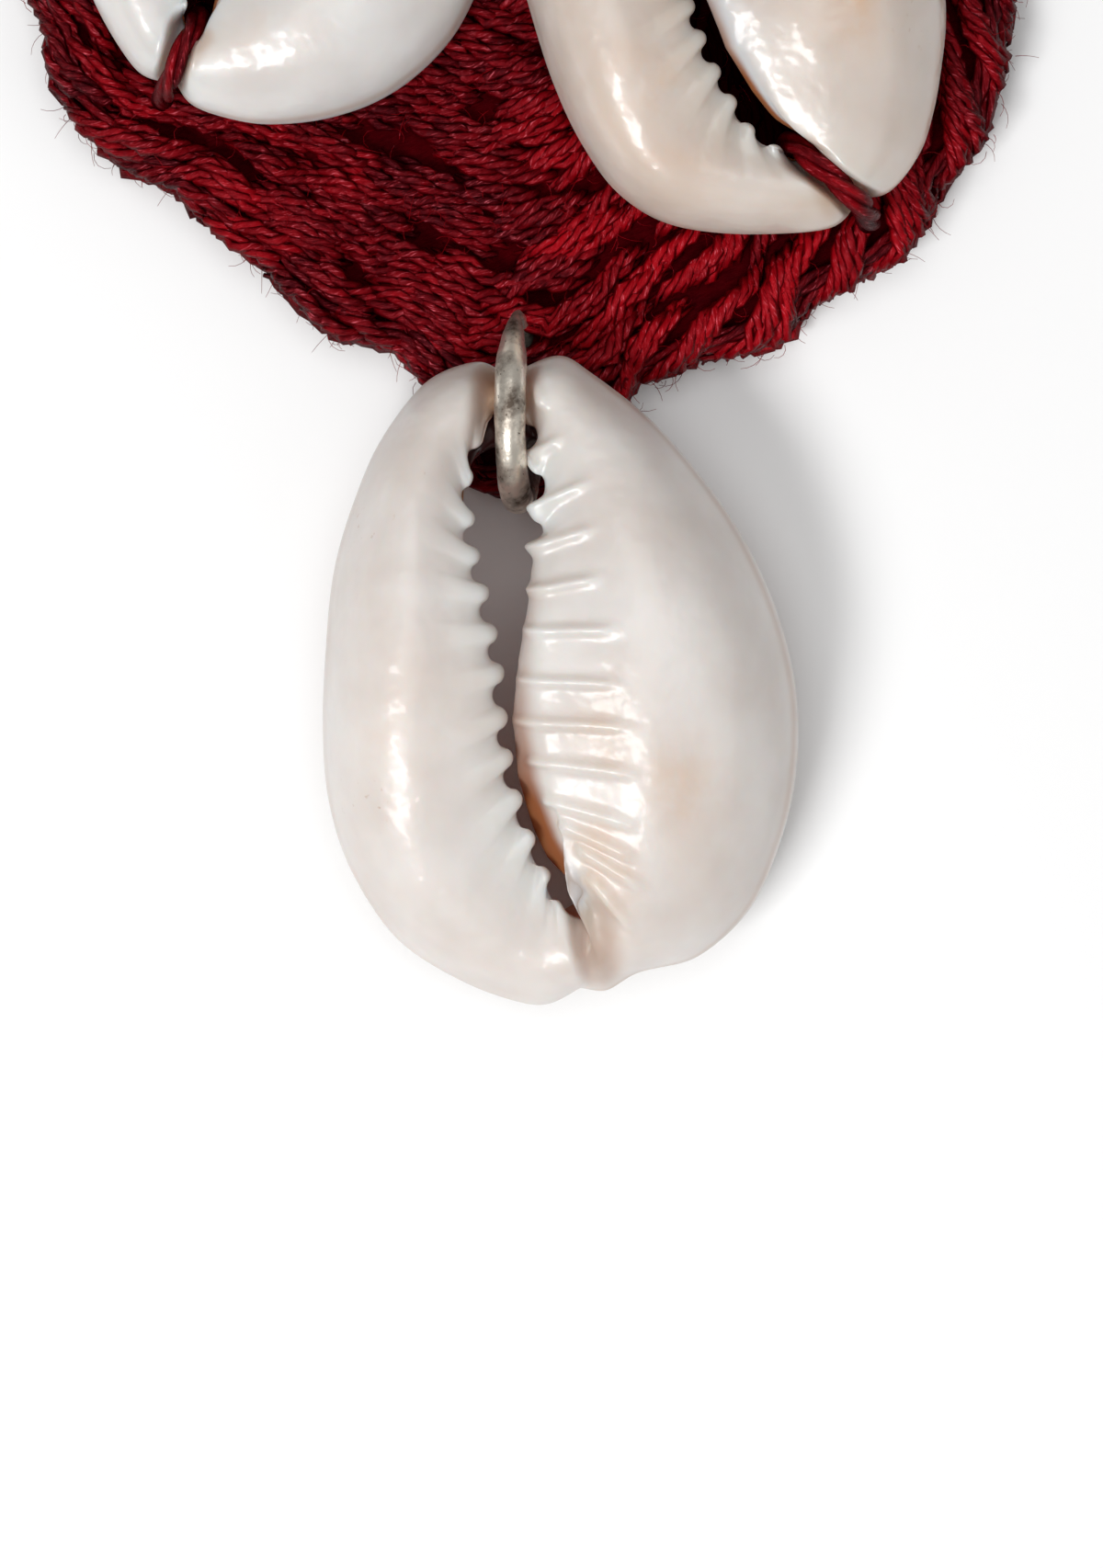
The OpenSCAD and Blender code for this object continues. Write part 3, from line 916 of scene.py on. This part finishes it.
        # Row 20 is on the flank, where outwards is away from the middle
        if (normal[20, :, :2] * (base[20, :, :2] - base[20, :, :2].mean(0))).sum() < 0:
            normal = -normal
        down = np.concatenate([down, [1.0, 1.0]])
        relief = self.relief(base, down, t, side)
        relief[[0, -2, -1]] = 0
        points = self.set_down(base + normal * relief[..., None]).reshape(-1, 3)
        quads = outward(points, grid_quads(*base.shape[:2], True, True))
        return Surface(points, quads, base[..., :2].reshape(-1, 2), self.numbers(base, down, t, side))

    def build(self) -> bpy.types.Object:
        """Makes the piece, dresses it, puts it on the root body and hides the CAD node that it replaces."""
        return stand_in(self.surface().piece(self.node + "_cowrie", self.finish.material()), self.node)


# Metal


@dataclass
class WireRing:
    """A ring of round wire standing in the plane of Y and Z, leaning about Y or turned about Z.

    Filed is the share by which its two ends are thinned where they meet.
    """

    middle: tuple[float, float, float]
    radius: float
    wire: float
    lean: float = 0.0
    turn: float = 0.0
    filed: float = 0.0

    def stood(self, points: np.ndarray) -> np.ndarray:
        """Points turned from the ring's own axes to the part's: by its lean about Y, then by its turn about Z."""
        return turned(turned(points, self.lean, 1), self.turn, 2)

    def pushed(self, points: np.ndarray, clear: float) -> np.ndarray:
        """Moves points that are closer than clear to the wire's centre line straight away from it.

        Args:
            points: any array whose last axis is x, y, z.
            clear: the least distance.

        Returns:
            The moved points.
        """
        local = turned(turned(points - np.array(self.middle), -self.turn, 2), -self.lean, 1)
        out = unit(local * (0, 1, 1))
        away = local - out * self.radius
        far = np.linalg.norm(away, axis=-1, keepdims=True)
        moved = out * self.radius + unit(away) * np.maximum(far, clear)
        return self.stood(moved) + np.array(self.middle)

    def surface(self, stations: int = 220, sides: int = 28, uneven: float = 0.02) -> Surface:
        """The wire: a circle of centres, swept with a radius that wavers by a sum of sines.

        Its two ends meet at the side towards +Y, and each is filed thinner by the share given in filed, all from
        the inside.

        Args:
            stations: rings of points around it.
            sides: points around the wire.
            uneven: share by which the wire's radius wavers.

        Returns:
            The closed surface.
        """
        angle = np.arange(stations) * 2 * np.pi / stations
        full = 1 - self.filed * (1 - np.clip(np.minimum(angle, 2 * np.pi - angle) / 0.9, 0, 1))
        out = self.radius + self.wire / 2 * (1 - full)
        centre = np.stack([0 * angle, out * np.cos(angle), out * np.sin(angle)], axis=1)
        path = self.stood(centre) + np.array(self.middle)
        waver = full + uneven * (np.sin(5 * angle + 1) + 0.6 * np.sin(13 * angle) + 0.4 * np.sin(29 * angle + 2))
        return swept(path[None], (self.wire / 2 * waver)[None], sides, self.stood(ACROSS[None])[0], closed=True)


@dataclass
class EarWire:
    """The plain ear wire: an eye through the medallion's edge, a leg, an arch and a free leg, sloping to the floor."""

    eye: WireRing
    wire: float = EAR_WIRE
    stem: float = 14.0
    span: float = 9.0
    tail: float = 12.0
    seat: float = 0.05

    def surface(self) -> Surface:
        """The eye and the bent wire.

        Returns:
            Two closed tubes. The second follows a straight line, a half circle and a straight line in a plane that
            slopes down by the angle whose sine is the fall over the reach, and its free end is rounded.
        """
        half = self.wire / 2
        fall = self.eye.middle[2] - half - self.seat
        slope = math.degrees(math.asin(fall / (self.stem + self.span / 2)))
        turn = np.linspace(math.pi, 0, 48)
        arch = np.stack([self.span / 2 * (1 + np.cos(turn)), self.stem + self.span / 2 * np.sin(turn)], axis=1)
        leg = np.stack([np.zeros(24), np.linspace(0, self.stem, 24, endpoint=False)], axis=1)
        end = self.stem - self.tail
        free = np.stack([np.full(24, self.span), np.linspace(self.stem, end + half, 25)[1:]], axis=1)
        quarter = np.linspace(0, np.pi / 2, 9)[1:]
        round_end = np.stack([np.full(8, self.span), end + half - half * np.sin(quarter)], axis=1)
        flat = np.concatenate([leg, arch, free, round_end])
        sloped = turned(np.concatenate([flat, np.zeros((len(flat), 1))], axis=1), -slope, 0) + (0, self.eye.radius, 0)
        path = turned(sloped, self.eye.turn, 2) + np.array(self.eye.middle)
        radii = np.full(len(path), half)
        radii[-8:] = np.maximum(half - half * (1 - np.cos(quarter)), 0.01)
        across = turned(turned(UP[None], -slope, 0), self.eye.turn, 2)[0]
        wire = swept(path[None], radii[None], 16, across)
        return Surface.joined([self.eye.surface(uneven=0.004), wire])

    def build(self, material: bpy.types.Material) -> bpy.types.Object:
        """Makes the piece, puts it on the root body and hides the CAD node that it replaces."""
        return stand_in(self.surface().piece("ear_wire", material), "ear_hook")


# Yarn


class Face(Enum):
    """Which side of the medallion a round of stitches lies on."""

    FRONT = "front"
    BACK = "back"


@dataclass
class Medallion:
    """The crocheted medallion: a ground of felted yarn under rounds of slanted, plied stitches on both faces."""

    shells: list[Cowrie]
    rings: list[WireRing]
    yarn: float = 0.64
    back_yarn: float = 0.95
    round_count: float = 7.2
    # Outer radius of the rounds, and the outline's mean radius
    radius: float = 16.6
    mean_edge: float = 16.7
    # Rounds and fibres stay within this radius, off the tab under the hanging cowrie
    widest_round: float = 17.8
    # Slant of the stitches from the round's own direction, below 0 where they lean inwards. Columns: angle from +X
    # and slant, both in degrees
    slants: tuple[tuple[float, float], ...] = (
        (0, 26), (90, 22), (150, 17), (190, 14), (215, 11), (235, 5), (250, -7), (260, -12), (266, -6), (272, 6),
        (286, 22), (304, 28), (330, 28), (360, 25),
    )
    # Length that a stitch doesn't pass, however little it slants
    longest: float = 3.7
    twist: float = 0.5
    fibres: int = 1700
    seed: int = 7
    stitch_hole: tuple[float, float] = (0.45, -13.75)
    # Columns: angle from +X in degrees, radius
    outline: tuple[tuple[float, float], ...] = (
        (0, 16.6), (30, 16.7), (60, 16.4), (90, 16.5), (120, 16.3), (150, 16.6), (180, 17.0), (192, 17.2),
        (196, 16.9), (202, 17.4), (208, 17.1), (214, 16.5), (220, 15.4), (228, 15.6), (236, 15.5), (246, 16.3),
        (254, 16.1), (262, 17.6), (265, 20.4), (270, 20.5), (275, 20.6), (279, 18.4), (283, 17.0), (290, 16.9),
        (300, 17.5), (305, 17.0), (317, 17.8), (325, 17.3), (332, 17.8), (343, 17.2), (352, 16.7), (360, 16.6),
    )

    def size(self, face: Face) -> float:
        """Diameter of the yarn on a side."""
        return self.yarn if face is Face.FRONT else self.back_yarn

    def edge(self, angle: np.ndarray) -> np.ndarray:
        """Outline radius at angles in radians, by straight lines between the table's rows."""
        table = np.array(self.outline)
        return np.interp(np.degrees(angle) % 360, table[:, 0], table[:, 1])

    def ceiling(self, points: np.ndarray) -> np.ndarray:
        """Highest place for yarn at each point: under a cowrie's cut edge, or under the hanging cowrie's end.

        Args:
            points: any array whose last axis is x, y, z.

        Returns:
            Heights.
        """
        limit = np.full(points.shape[:-1], 3.35)
        for shell in self.shells:
            rise = smooth_step(0.98, 1.25, shell.opening(points))
            limit = np.minimum(limit, CLOTH_THICKNESS + 0.06 + 0.9 * rise)
        low = np.maximum(PRESS_LOW, PRESS_Z + PRESS_SLOPE * (points[..., 1] - PRESS_Y)) + 0.1
        beside = smooth_step(4.0, 6.5, np.abs(points[..., 0] - 0.6)) + smooth_step(-16.0, -15.0, points[..., 1])
        return np.minimum(limit, low + 3.0 * np.clip(beside, 0, 1))

    def covered(self, points: np.ndarray) -> np.ndarray:
        """How far points lie under a sewn cowrie's opening, from 0 at its rim to 1.

        Args:
            points: any array whose last axis is x, y, z.

        Returns:
            The mask.
        """
        mask = np.zeros(points.shape[:-1])
        for shell in self.shells:
            mask = np.maximum(mask, 1 - smooth_step(0.75, 0.95, shell.opening(points)))
        return mask

    def settled(self, paths: np.ndarray, face: Face) -> np.ndarray:
        """Paths kept under the ceiling, above the floor, off the metal rings and out of the stitch hole.

        Args:
            paths: yarns by points by xyz.
            face: the side that they lie on.

        Returns:
            The moved paths.
        """
        half = self.size(face) / 2
        out = paths.copy()
        if face is Face.FRONT:
            out[..., 2] = np.minimum(out[..., 2], self.ceiling(out) - half)
            hole = out[..., :2] - np.array(self.stitch_hole)
            far = np.linalg.norm(hole, axis=-1, keepdims=True)
            opened = np.hypot(far, 0.62 * np.exp(-((far / 1.6) ** 2)))
            out[..., :2] = np.array(self.stitch_hole) + unit(hole) * opened
        for ring in self.rings:
            out = ring.pushed(out, ring.wire / 2 + half * 0.9)
        out[..., 2] = np.maximum(out[..., 2], half + 0.02)
        return out

    def round_paths(self, index: int, face: Face, rng: np.random.Generator) -> np.ndarray:
        """Centre lines of the stitches of one round.

        A stitch goes from p = -1 to 1: its angle grows with p by half its length over the radius, its radius changes
        by the slant, and its height follows a cosine hump. A round has as many as cover it, which is more where they
        slant more. Where they hardly slant, steps of the golden ratio spread them across the round's width. The
        outermost round wraps over the edge. Yarns lie in bundles of three, and a slow sine makes each one wander.

        Args:
            index: 0 for the outermost round.
            face: the side that it lies on.
            rng: the seeded source of unevenness.

        Returns:
            Stitches by points by xyz.
        """
        share = (index + 0.5) / self.round_count
        size = self.size(face)
        radius = self.radius * (1 - share)
        reach = self.radius / self.round_count * 1.12
        turns = np.linspace(0, 2 * np.pi, 361)
        slants = np.radians(np.interp(np.degrees(turns), *np.array(self.slants).T))
        per_length = np.maximum(np.sin(np.abs(slants[1:])), reach / self.longest)
        per_length *= 1 + 0.4 * np.exp(-(((np.degrees(turns[1:]) - 275) / 18) ** 2))
        crowd = np.concatenate([[0.0], np.cumsum(per_length)]) * radius * turns[1]
        spacing = size * {Face.FRONT: 0.62, Face.BACK: 0.8}[face]
        count = 3 * max(2, int(round(crowd[-1] / spacing / 3)))
        in_bundle = np.arange(count) % 3 - 1
        p = np.linspace(-1, 1, 14)
        places = (np.arange(count) + 0.5 - 0.07 * in_bundle + rng.uniform(-0.11, 0.11, count)) / count
        middle = np.interp(places * crowd[-1], crowd, turns)
        slope = np.tan(np.interp(middle, turns, slants))
        half = np.minimum(reach / 2 / np.maximum(np.abs(slope), 0.01), self.longest / 2) * rng.uniform(0.92, 1.1, count)
        angle = middle[:, None] + p * np.minimum(half / max(radius, 2.2), 1.0)[:, None]
        spanned = np.clip(2 * half * slope / reach, -1, 1)
        across = 1.9 * (np.arange(count) // 3 * 0.618 % 1) - 0.95 + 1.5 * in_bundle * size / reach
        q = spanned[:, None] * p + ((1 - np.abs(spanned)) * across)[:, None]
        inner = (1 - share) - q * reach / 2 / self.radius * rng.uniform(0.95, 1.06, (count, 1))
        hump = np.cos(p * np.pi / 2) ** 0.75
        top = 3.05 if index < 2 else 2.95
        if face is Face.FRONT:
            height = top - size / 2 - 0.8 * (1 - hump) + rng.uniform(-0.16, 0.08, (count, 1))
            height = height - 0.13 * np.abs(in_bundle)[:, None]
            if index == 0:
                outer = smooth_step(0.1, -1.0, q)
                height = height - 1.15 * outer**1.5
                inner = inner + 0.035 * np.sin(np.pi * outer) - 0.012
        else:
            height = size / 2 + 0.03 + 0.45 * (1 - hump) + 0 * middle[:, None]
        inner = np.clip(inner, 0.02, 0.985)
        uneven = np.minimum(self.edge(angle), self.widest_round) - self.mean_edge
        r = inner * (self.mean_edge + uneven * smooth_step(0.5, 0.95, inner))
        drift = rng.uniform(0, 2 * np.pi, (3, count, 1))
        r = r + 0.09 * np.sin(3.1 * p + drift[0]) * np.sin(5.3 * p + drift[1])
        height = height + 0.1 * np.sin(4.2 * p + drift[2])
        return polar(r, angle, height)

    def strands(self, paths: np.ndarray, face: Face, rng: np.random.Generator, sides: int, depth: np.ndarray,
                slack: float = 1.0) -> Surface:
        """Plied yarn along paths.

        Args:
            paths: yarns by points by xyz, before they are settled.
            face: the side that they lie on.
            rng: the seeded source of unevenness.
            sides: points around a ply.
            depth: how far each point of a path lies in a groove, from 0 to 1, which sets its painted shade.
            slack: share of the usual twist.

        Returns:
            Three closed plies for each path, whose radius wavers.
        """
        size = self.size(face)
        settled = self.settled(paths, face)
        plies = plied(settled, size, self.twist * slack, UP, rng.uniform(0, 2 * np.pi, len(paths)))
        count, stations = plies.shape[:2]
        plies += rng.normal(0, 0.045 * size, plies.shape)
        plies[..., 2] = np.maximum(plies[..., 2], size * 0.3)
        # Each bundle of three yarns has its own tone, and painted light makes the lower right brighter than the rest
        bundles = np.repeat(rng.uniform(0.0, 0.55, -(-len(paths) // 3)), 3)[:len(paths)]
        tone = np.repeat(bundles, PLIES) + rng.uniform(-0.15, 0.15, count)
        middles = plies[:, stations // 2]
        tone += 0.6 * smooth_step(0.0, 6.0, middles[:, 0]) * smooth_step(-5.0, -12.0, middles[:, 1])
        ends = np.clip(np.minimum(np.arange(stations), np.arange(stations)[::-1]) / 2, 0.35, 1)
        radii = size / PLIES_ACROSS / 2 * 1.08 * ends * rng.uniform(0.8, 1.18, (count, stations))
        # Yarn under a sewn cowrie's opening gets painted shade too
        depth = np.maximum(depth, self.covered(plies))
        return swept(plies, radii, sides, UP, tone=tone[:, None], depth=depth)

    def stitch_round(self, index: int, face: Face, rng: np.random.Generator, sides: int) -> Surface:
        """One round of stitches, with painted shade at both ends, where they dive into the grooves.

        Args:
            index: 0 for the outermost round.
            face: the side that it lies on.
            rng: the seeded source of unevenness.
            sides: points around a ply.

        Returns:
            The round's plies.
        """
        paths = self.round_paths(index, face, rng)
        p = np.linspace(-1, 1, paths.shape[1])
        depth = smooth_step(0.6, 1.0, np.abs(p)) * (0.5 if index == 0 else 0.9)
        return self.strands(paths, face, rng, sides, depth)

    def groove_paths(self, index: int, face: Face) -> np.ndarray:
        """A strand that runs round in the groove outside a round: an offset of the outline, low down.

        Args:
            index: 0 for the outermost round.
            face: the side that it lies on.

        Returns:
            One path by points by xyz, whose two ends meet.
        """
        angle = np.linspace(0, 2 * np.pi, 200)
        r = self.edge(angle) * (1 - index / self.round_count) - (0.5 if index == 0 else 0.0)
        low = {Face.FRONT: 1.5, Face.BACK: 0.75}[face]
        return polar(r, angle, low + 0.1 * np.sin(23 * angle + index))[None]

    def border_paths(self) -> np.ndarray:
        """Strands that follow the outline, side by side round the edge from near the floor to the top.

        Returns:
            Four paths by points by xyz, each an offset of the outline that wavers by a sine.
        """
        angle = np.linspace(0, 2 * np.pi, 300)
        inset = np.array([0.5, 0.42, 0.46, 0.8])[:, None] + 0.08 * np.sin(angle * [[17], [13], [19], [11]])
        height = np.array([0.55, 1.05, 1.6, 2.1])[:, None] + 0.1 * np.sin(angle * [[9], [14], [12], [16]])
        return polar(self.edge(angle) - inset, angle, height)

    def ground(self) -> Surface:
        """The felted ground under the stitches: rings of the outline, over the top, round the edge and below.

        Returns:
            A closed disc whose upper face stays under the stitches, with small centre rings.
        """
        angle = np.arange(180) * 2 * np.pi / 180
        # Columns: share of the outline's radius, height
        profile = [(0.002, 2.0), (0.3, 2.05), (0.6, 2.05), (0.85, 1.95), (0.93, 1.7), (0.965, 1.3), (0.965, 0.9),
                   (0.93, 0.45), (0.85, 0.35), (0.6, 0.35), (0.3, 0.35), (0.002, 0.35)]
        share = spline(np.array(profile), np.linspace(0, 1, 60))
        points = polar(share[:, :1] * self.edge(angle), angle, share[:, 1:])
        points[..., 2] = np.minimum(points[..., 2], np.maximum(self.ceiling(points) - 0.8, 0.4))
        far = np.linalg.norm(points[..., :2] - np.array(self.stitch_hole), axis=-1)
        points[..., 2] -= 0.7 * np.exp(-((far / 0.9) ** 2)) * (points[..., 2] > 1.0)
        for ring in self.rings:
            points = ring.pushed(points, ring.wire / 2 + 0.25)
        points[..., 2] = np.maximum(points[..., 2], 0.12)
        rows, columns = points.shape[:2]
        flat = points.reshape(-1, 3)
        first = cap_quads(columns)
        quads = np.concatenate([grid_quads(rows, columns, False, True), first[:, ::-1], first + (rows - 1) * columns])
        # The whole ground lies under the stitches and gets painted shade
        numbers = {"tone": np.full(len(flat), 0.35), "depth": np.full(len(flat), 0.62)}
        return Surface(flat, outward(flat, quads), flat[:, :2].copy(), numbers)

    def fuzz(self, rng: np.random.Generator) -> Surface:
        """Loose fibres that stand off the yarn, most of them at the edge.

        Each is a curve that starts on the yarn and drifts outwards, bending by a sine of its length.

        Args:
            rng: the seeded source of unevenness.

        Returns:
            Thin closed tubes.
        """
        count = self.fibres
        s = np.linspace(0, 1, 5)
        angle = rng.uniform(0, 2 * np.pi, count)
        at_edge = rng.uniform(0, 1, count) < 0.3
        share = np.where(at_edge, rng.uniform(0.95, 1.0, count), np.sqrt(rng.uniform(0.05, 0.9, count)))
        height = np.where(at_edge, rng.uniform(0.5, 2.6, count), 2.7)
        start = polar(share * np.minimum(self.edge(angle), self.widest_round), angle, height)
        start[:, 2] = np.minimum(start[:, 2], self.ceiling(start) - 0.1)
        heading = np.where(at_edge, angle, angle + rng.uniform(-3.1, 3.1, count)) + rng.uniform(-0.9, 0.9, count)
        # One fibre in 25 is much longer than the rest
        length = rng.uniform(0.3, 1.0, count) * np.where(rng.uniform(0, 1, count) < 0.04, 2.6, 1.0)
        curl = rng.uniform(-2.8, 2.8, count)
        bend = heading[:, None] + curl[:, None] * s
        step = length[:, None] / (len(s) - 1)
        x = start[:, :1] + np.cumsum(np.cos(bend), axis=1) * step
        y = start[:, 1:2] + np.cumsum(np.sin(bend), axis=1) * step
        rise = rng.uniform(-0.25, 0.5, count)
        z = start[:, 2:] + rise[:, None] * np.sin(s * np.pi * 0.7) * length[:, None] * 0.6
        paths = np.stack([x, y, z], axis=-1)
        paths[..., 2] = np.clip(paths[..., 2], 0.03, None)
        radii = np.full((count, 1), 0.011) * np.linspace(1, 0.6, len(s))
        return swept(paths, radii, 4, UP, tone=rng.uniform(0.4, 1.2, (count, 1)), depth=np.zeros((count, 1)))

    def build(self) -> list[bpy.types.Object]:
        """Returns:
            The six pieces.
        """
        rng = np.random.default_rng(self.seed)
        finish = YarnFinish("burgundy yarn").material()
        ground = self.ground().piece("medallion_ground", finish)
        outer = [self.stitch_round(k, Face.FRONT, rng, 6) for k in (0, 1)]
        inner = [self.stitch_round(k, Face.FRONT, rng, 6) for k in range(2, 7)]
        back = [self.stitch_round(k, Face.BACK, rng, 4) for k in range(7)]
        # The strands in the grooves get full painted shade, and the border strands a little
        grooves = [self.strands(self.groove_paths(k, Face.FRONT), Face.FRONT, rng, 4, np.ones(1)) for k in range(7)]
        grooves.append(self.strands(self.border_paths(), Face.FRONT, rng, 6, np.full(1, 0.25), 0.5))
        pieces = [
            ground,
            Surface.joined(outer).piece("stitches_front_outer", finish),
            Surface.joined(inner).piece("stitches_front_inner", finish),
            Surface.joined(back).piece("stitches_back", finish),
            Surface.joined(grooves).piece("stitches_grooves", finish),
            self.fuzz(rng).piece("yarn_fuzz", finish),
        ]
        for made in pieces:
            stand_in(made, "medallion")
        return pieces


# Routes of the sewing yarn over a reference cowrie's ends. Columns: x, y, height
LOW_ROUTE = [
    (0.48, -7.3, 0.05), (0.48, -7.35, 2.0), (0.52, -7.4, 3.6), (0.68, -8.1, 4.6), (0.64, -9.3, 4.7),
    (0.62, -10.3, 4.3), (0.62, -10.9, 3.4), (0.64, -11.2, 2.0), (0.64, -11.2, 0.5),
]
HIGH_ROUTE = [
    (-1.9, 6.8, 0.05), (-1.9, 6.9, 1.8), (-1.9, 7.25, 3.4), (-1.88, 8.0, 4.3), (-1.86, 9.0, 4.42),
    (-1.86, 10.1, 4.25), (-1.86, 11.0, 3.4), (-1.86, 11.3, 2.1), (-1.86, 11.3, 0.5),
]


@dataclass
class SewingYarn:
    """Plied yarn that goes out of a sewn cowrie's slit, over its end and down into the crochet."""

    shell: Cowrie
    size: float
    twist: float = 0.24

    def build(self, name: str, route: list[tuple[float, float, float]],
              material: bpy.types.Material) -> bpy.types.Object:
        """Makes one thread, whose end sinks into the crochet under painted shade.

        Args:
            name: the node that it replaces.
            route: points over a reference cowrie's end.
            material: the yarn's finish.

        Returns:
            The new piece: three plies on a helix round the route.
        """
        along = np.linspace(0, 1, 90)
        path = self.shell.set_down(self.shell.bent(spline(np.array(route), along)))
        across = turned(ACROSS[None], self.shell.turn, 2)[0]
        plies = plied(path[None], self.size, self.twist, across, np.zeros(1))
        radii = np.full(plies.shape[:2], self.size / PLIES_ACROSS / 2 * 1.1)
        # Painted shade on the end that sinks into the crochet
        sunk = smooth_step(0.8, 0.92, along)[None] + np.zeros((PLIES, 1))
        tubes = swept(plies, radii, 10, across, tone=np.array([[0.1], [0.25], [0.4]]), depth=sunk)
        return stand_in(tubes.piece(name + "_yarn", material), name)


# Studio


@dataclass
class Studio:
    """Pale floor, soft lights and the camera straight above the photo's middle."""

    camera_height: float = 520.0
    # The photo's scale holds at this height above the floor
    focus_height: float = 4.0
    floor_size: float = 900.0
    target: tuple[float, float, float] = (0.0, -18.0, 2.0)

    def floor(self) -> None:
        """A large, plain, pale square."""
        half = self.floor_size * MM / 2
        mesh = bpy.data.meshes.new("floor")
        mesh.from_pydata([(-half, -half, 0), (half, -half, 0), (half, half, 0), (-half, half, 0)], [], [(0, 1, 2, 3)])
        material, _, shader = start_material("pale floor")
        shader.inputs["Base Color"].default_value = (0.92, 0.92, 0.92, 1)
        shader.inputs["Roughness"].default_value = 0.9
        mesh.materials.append(material)
        linked("floor", mesh)

    def lamp(self, name: str, place: tuple[float, float, float], size: tuple[float, float], power: float) -> None:
        """Adds an area light that faces the earring.

        Args:
            name: the light's name.
            place: its middle, in millimetres.
            size: its width and height, in millimetres.
            power: watts.
        """
        data = bpy.data.lights.new(name, "AREA")
        data.shape, data.size, data.size_y, data.energy = "RECTANGLE", size[0] * MM, size[1] * MM, power
        made = linked(name, data)
        ahead = unit(np.array(self.target) - np.array(place))
        made.location = [c * MM for c in place]
        made.rotation_euler = Vector(ahead).to_track_quat("-Z", "Y").to_euler()

    def camera(self) -> None:
        """Looks straight down at the photo's middle, with the photo's height across the sensor's long side."""
        x = (PHOTO_SIZE[0] / 2 - MEDALLION_PIXEL[0]) * PIXEL_MM
        y = (MEDALLION_PIXEL[1] - PHOTO_SIZE[1] / 2) * PIXEL_MM
        data = bpy.data.cameras.new("camera")
        data.sensor_width = 36.0
        data.lens = data.sensor_width * (self.camera_height - self.focus_height) / (PHOTO_SIZE[1] * PIXEL_MM)
        data.clip_end = 5.0
        made = linked("camera", data)
        made.location = (x * MM, y * MM, self.camera_height * MM)
        bpy.context.scene.camera = made

    def build(self) -> None:
        """Makes the floor, the lights, the sky and the camera."""
        self.floor()
        self.lamp("key", (-165, -215, 325), (170, 95), 1.12)
        self.lamp("overhead", (-20, 40, 560), (420, 420), 1.08)
        self.lamp("fill", (260, -60, 260), (260, 260), 0.12)
        world = bpy.data.worlds.new("soft sky")
        world.use_nodes = True
        world.node_tree.nodes["Background"].inputs[0].default_value = (1, 1, 1, 1)
        world.node_tree.nodes["Background"].inputs[1].default_value = 0.24
        bpy.context.scene.world = world
        bpy.context.scene.view_settings.view_transform = "Standard"
        self.camera()


def main() -> None:
    """Builds the earring piece by piece around the frame, then the studio."""
    logging.basicConfig(level=logging.INFO, format="%(message)s")
    Studio().build()
    # The hanging cowrie rests on its wide end, so its middle is raised by that end's reach times the tilt's sine
    tilt = 6.1
    cut_reach = 10.5 * 0.8 + 0.5
    pale_finish = ShellFinish("pale cowrie", roughness=0.36, gloss=0.16, dimples=0.6)
    drop = Cowrie("shell_drop", pale_finish, (1.24, -26.35), 0.0, 22.0, 16.0, notch=(0.95, 0.6), tilt=tilt,
                  lift=cut_reach * math.sin(math.radians(tilt)) + 0.02, tooth=0.24, tooth_end=0.015, high_tooth=0.3,
                  rib=0.19, whorl=WHORL_SIDE, groove=(1.0, 1.25), notch_line=((0.8, -7.9), (1.6, -12.0)), lean=0.55,
                  columella=1.0, slit_low=-7.85, slit_high=9.3, whorl_bank=0.42, columns_per_side=250,
                  stains=((3.9, -3.8, 1.4, 0.4), (-5.2, -1.5, 1.5, 0.25), (1.5, -1.6, 1.2, 0.35),
                          (1.2, -5.5, 1.6, 0.4)),
                  pits=((-4.6, 7.6, 0.5), (-6.5, 5.3, 1.0), (-6.5, -3.8, 1.0)))
    cool_finish = ShellFinish("cool cowrie", body=rgb(204, 200, 197), pale=rgb(214, 212, 210))
    left = Cowrie("shell_left", cool_finish, (-7.13, -0.4), -42.0, 16.4, 13.2, notch=(0.55, 2.0), tooth=0.14,
                  bend=(0.1, -0.35, -0.8, -0.75, -0.35, -0.1, 0.0, 0.0, 0.0), stains=((2.0, -6.0, 2.0, 0.2),))
    warm_finish = ShellFinish("warm cowrie", body=rgb(198, 184, 173), pale=rgb(208, 198, 190), dimples=0.5)
    right = Cowrie("shell_right", warm_finish, (6.91, -2.64), 20.0, 18.7, 13.7, notch=(0.6, 2.0), tooth_reach=0.13,
                   bend=(1.1, 0.4, -0.45, -0.9, -0.7, -0.45, -0.2, 0.0, 0.0), coolness=0.5,
                   stains=((3.6, -3.0, 1.2, 0.9), (-4.5, -4.0, 2.5, 0.4)), pits=((6.0, -4.5, 1.0),))
    for shell in (drop, left, right):
        LOG.info("built %s", shell.build().name)
    ring = WireRing((-0.24, PRESS_Y - 0.1, 3.5), (RING_OUTER - RING_WIRE) / 2, RING_WIRE, lean=-5.7, filed=0.9)
    wire = ring.surface().piece("jump_ring_wire", MetalFinish("worn metal").material())
    LOG.info("built %s", stand_in(wire, "jump_ring").name)
    eye = WireRing((0.0, 17.0, 2.75), 2.3, EAR_WIRE, turn=35.0)
    LOG.info("built %s", EarWire(eye).build(MetalFinish("ear wire metal", wear=0.35).material()).name)
    thread_finish = YarnFinish("sewing yarn").material()
    for shell, size in ((left, 0.72), (right, 0.84)):
        side = shell.node.replace("shell_", "thread_")
        for end, route in (("low", LOW_ROUTE), ("high", HIGH_ROUTE)):
            LOG.info("built %s", SewingYarn(shell, size).build(f"{side}_{end}", route, thread_finish).name)
    for made in Medallion([left, right], [ring, eye]).build():
        LOG.info("built %s", made.name)


if __name__ == "__main__":
    main()
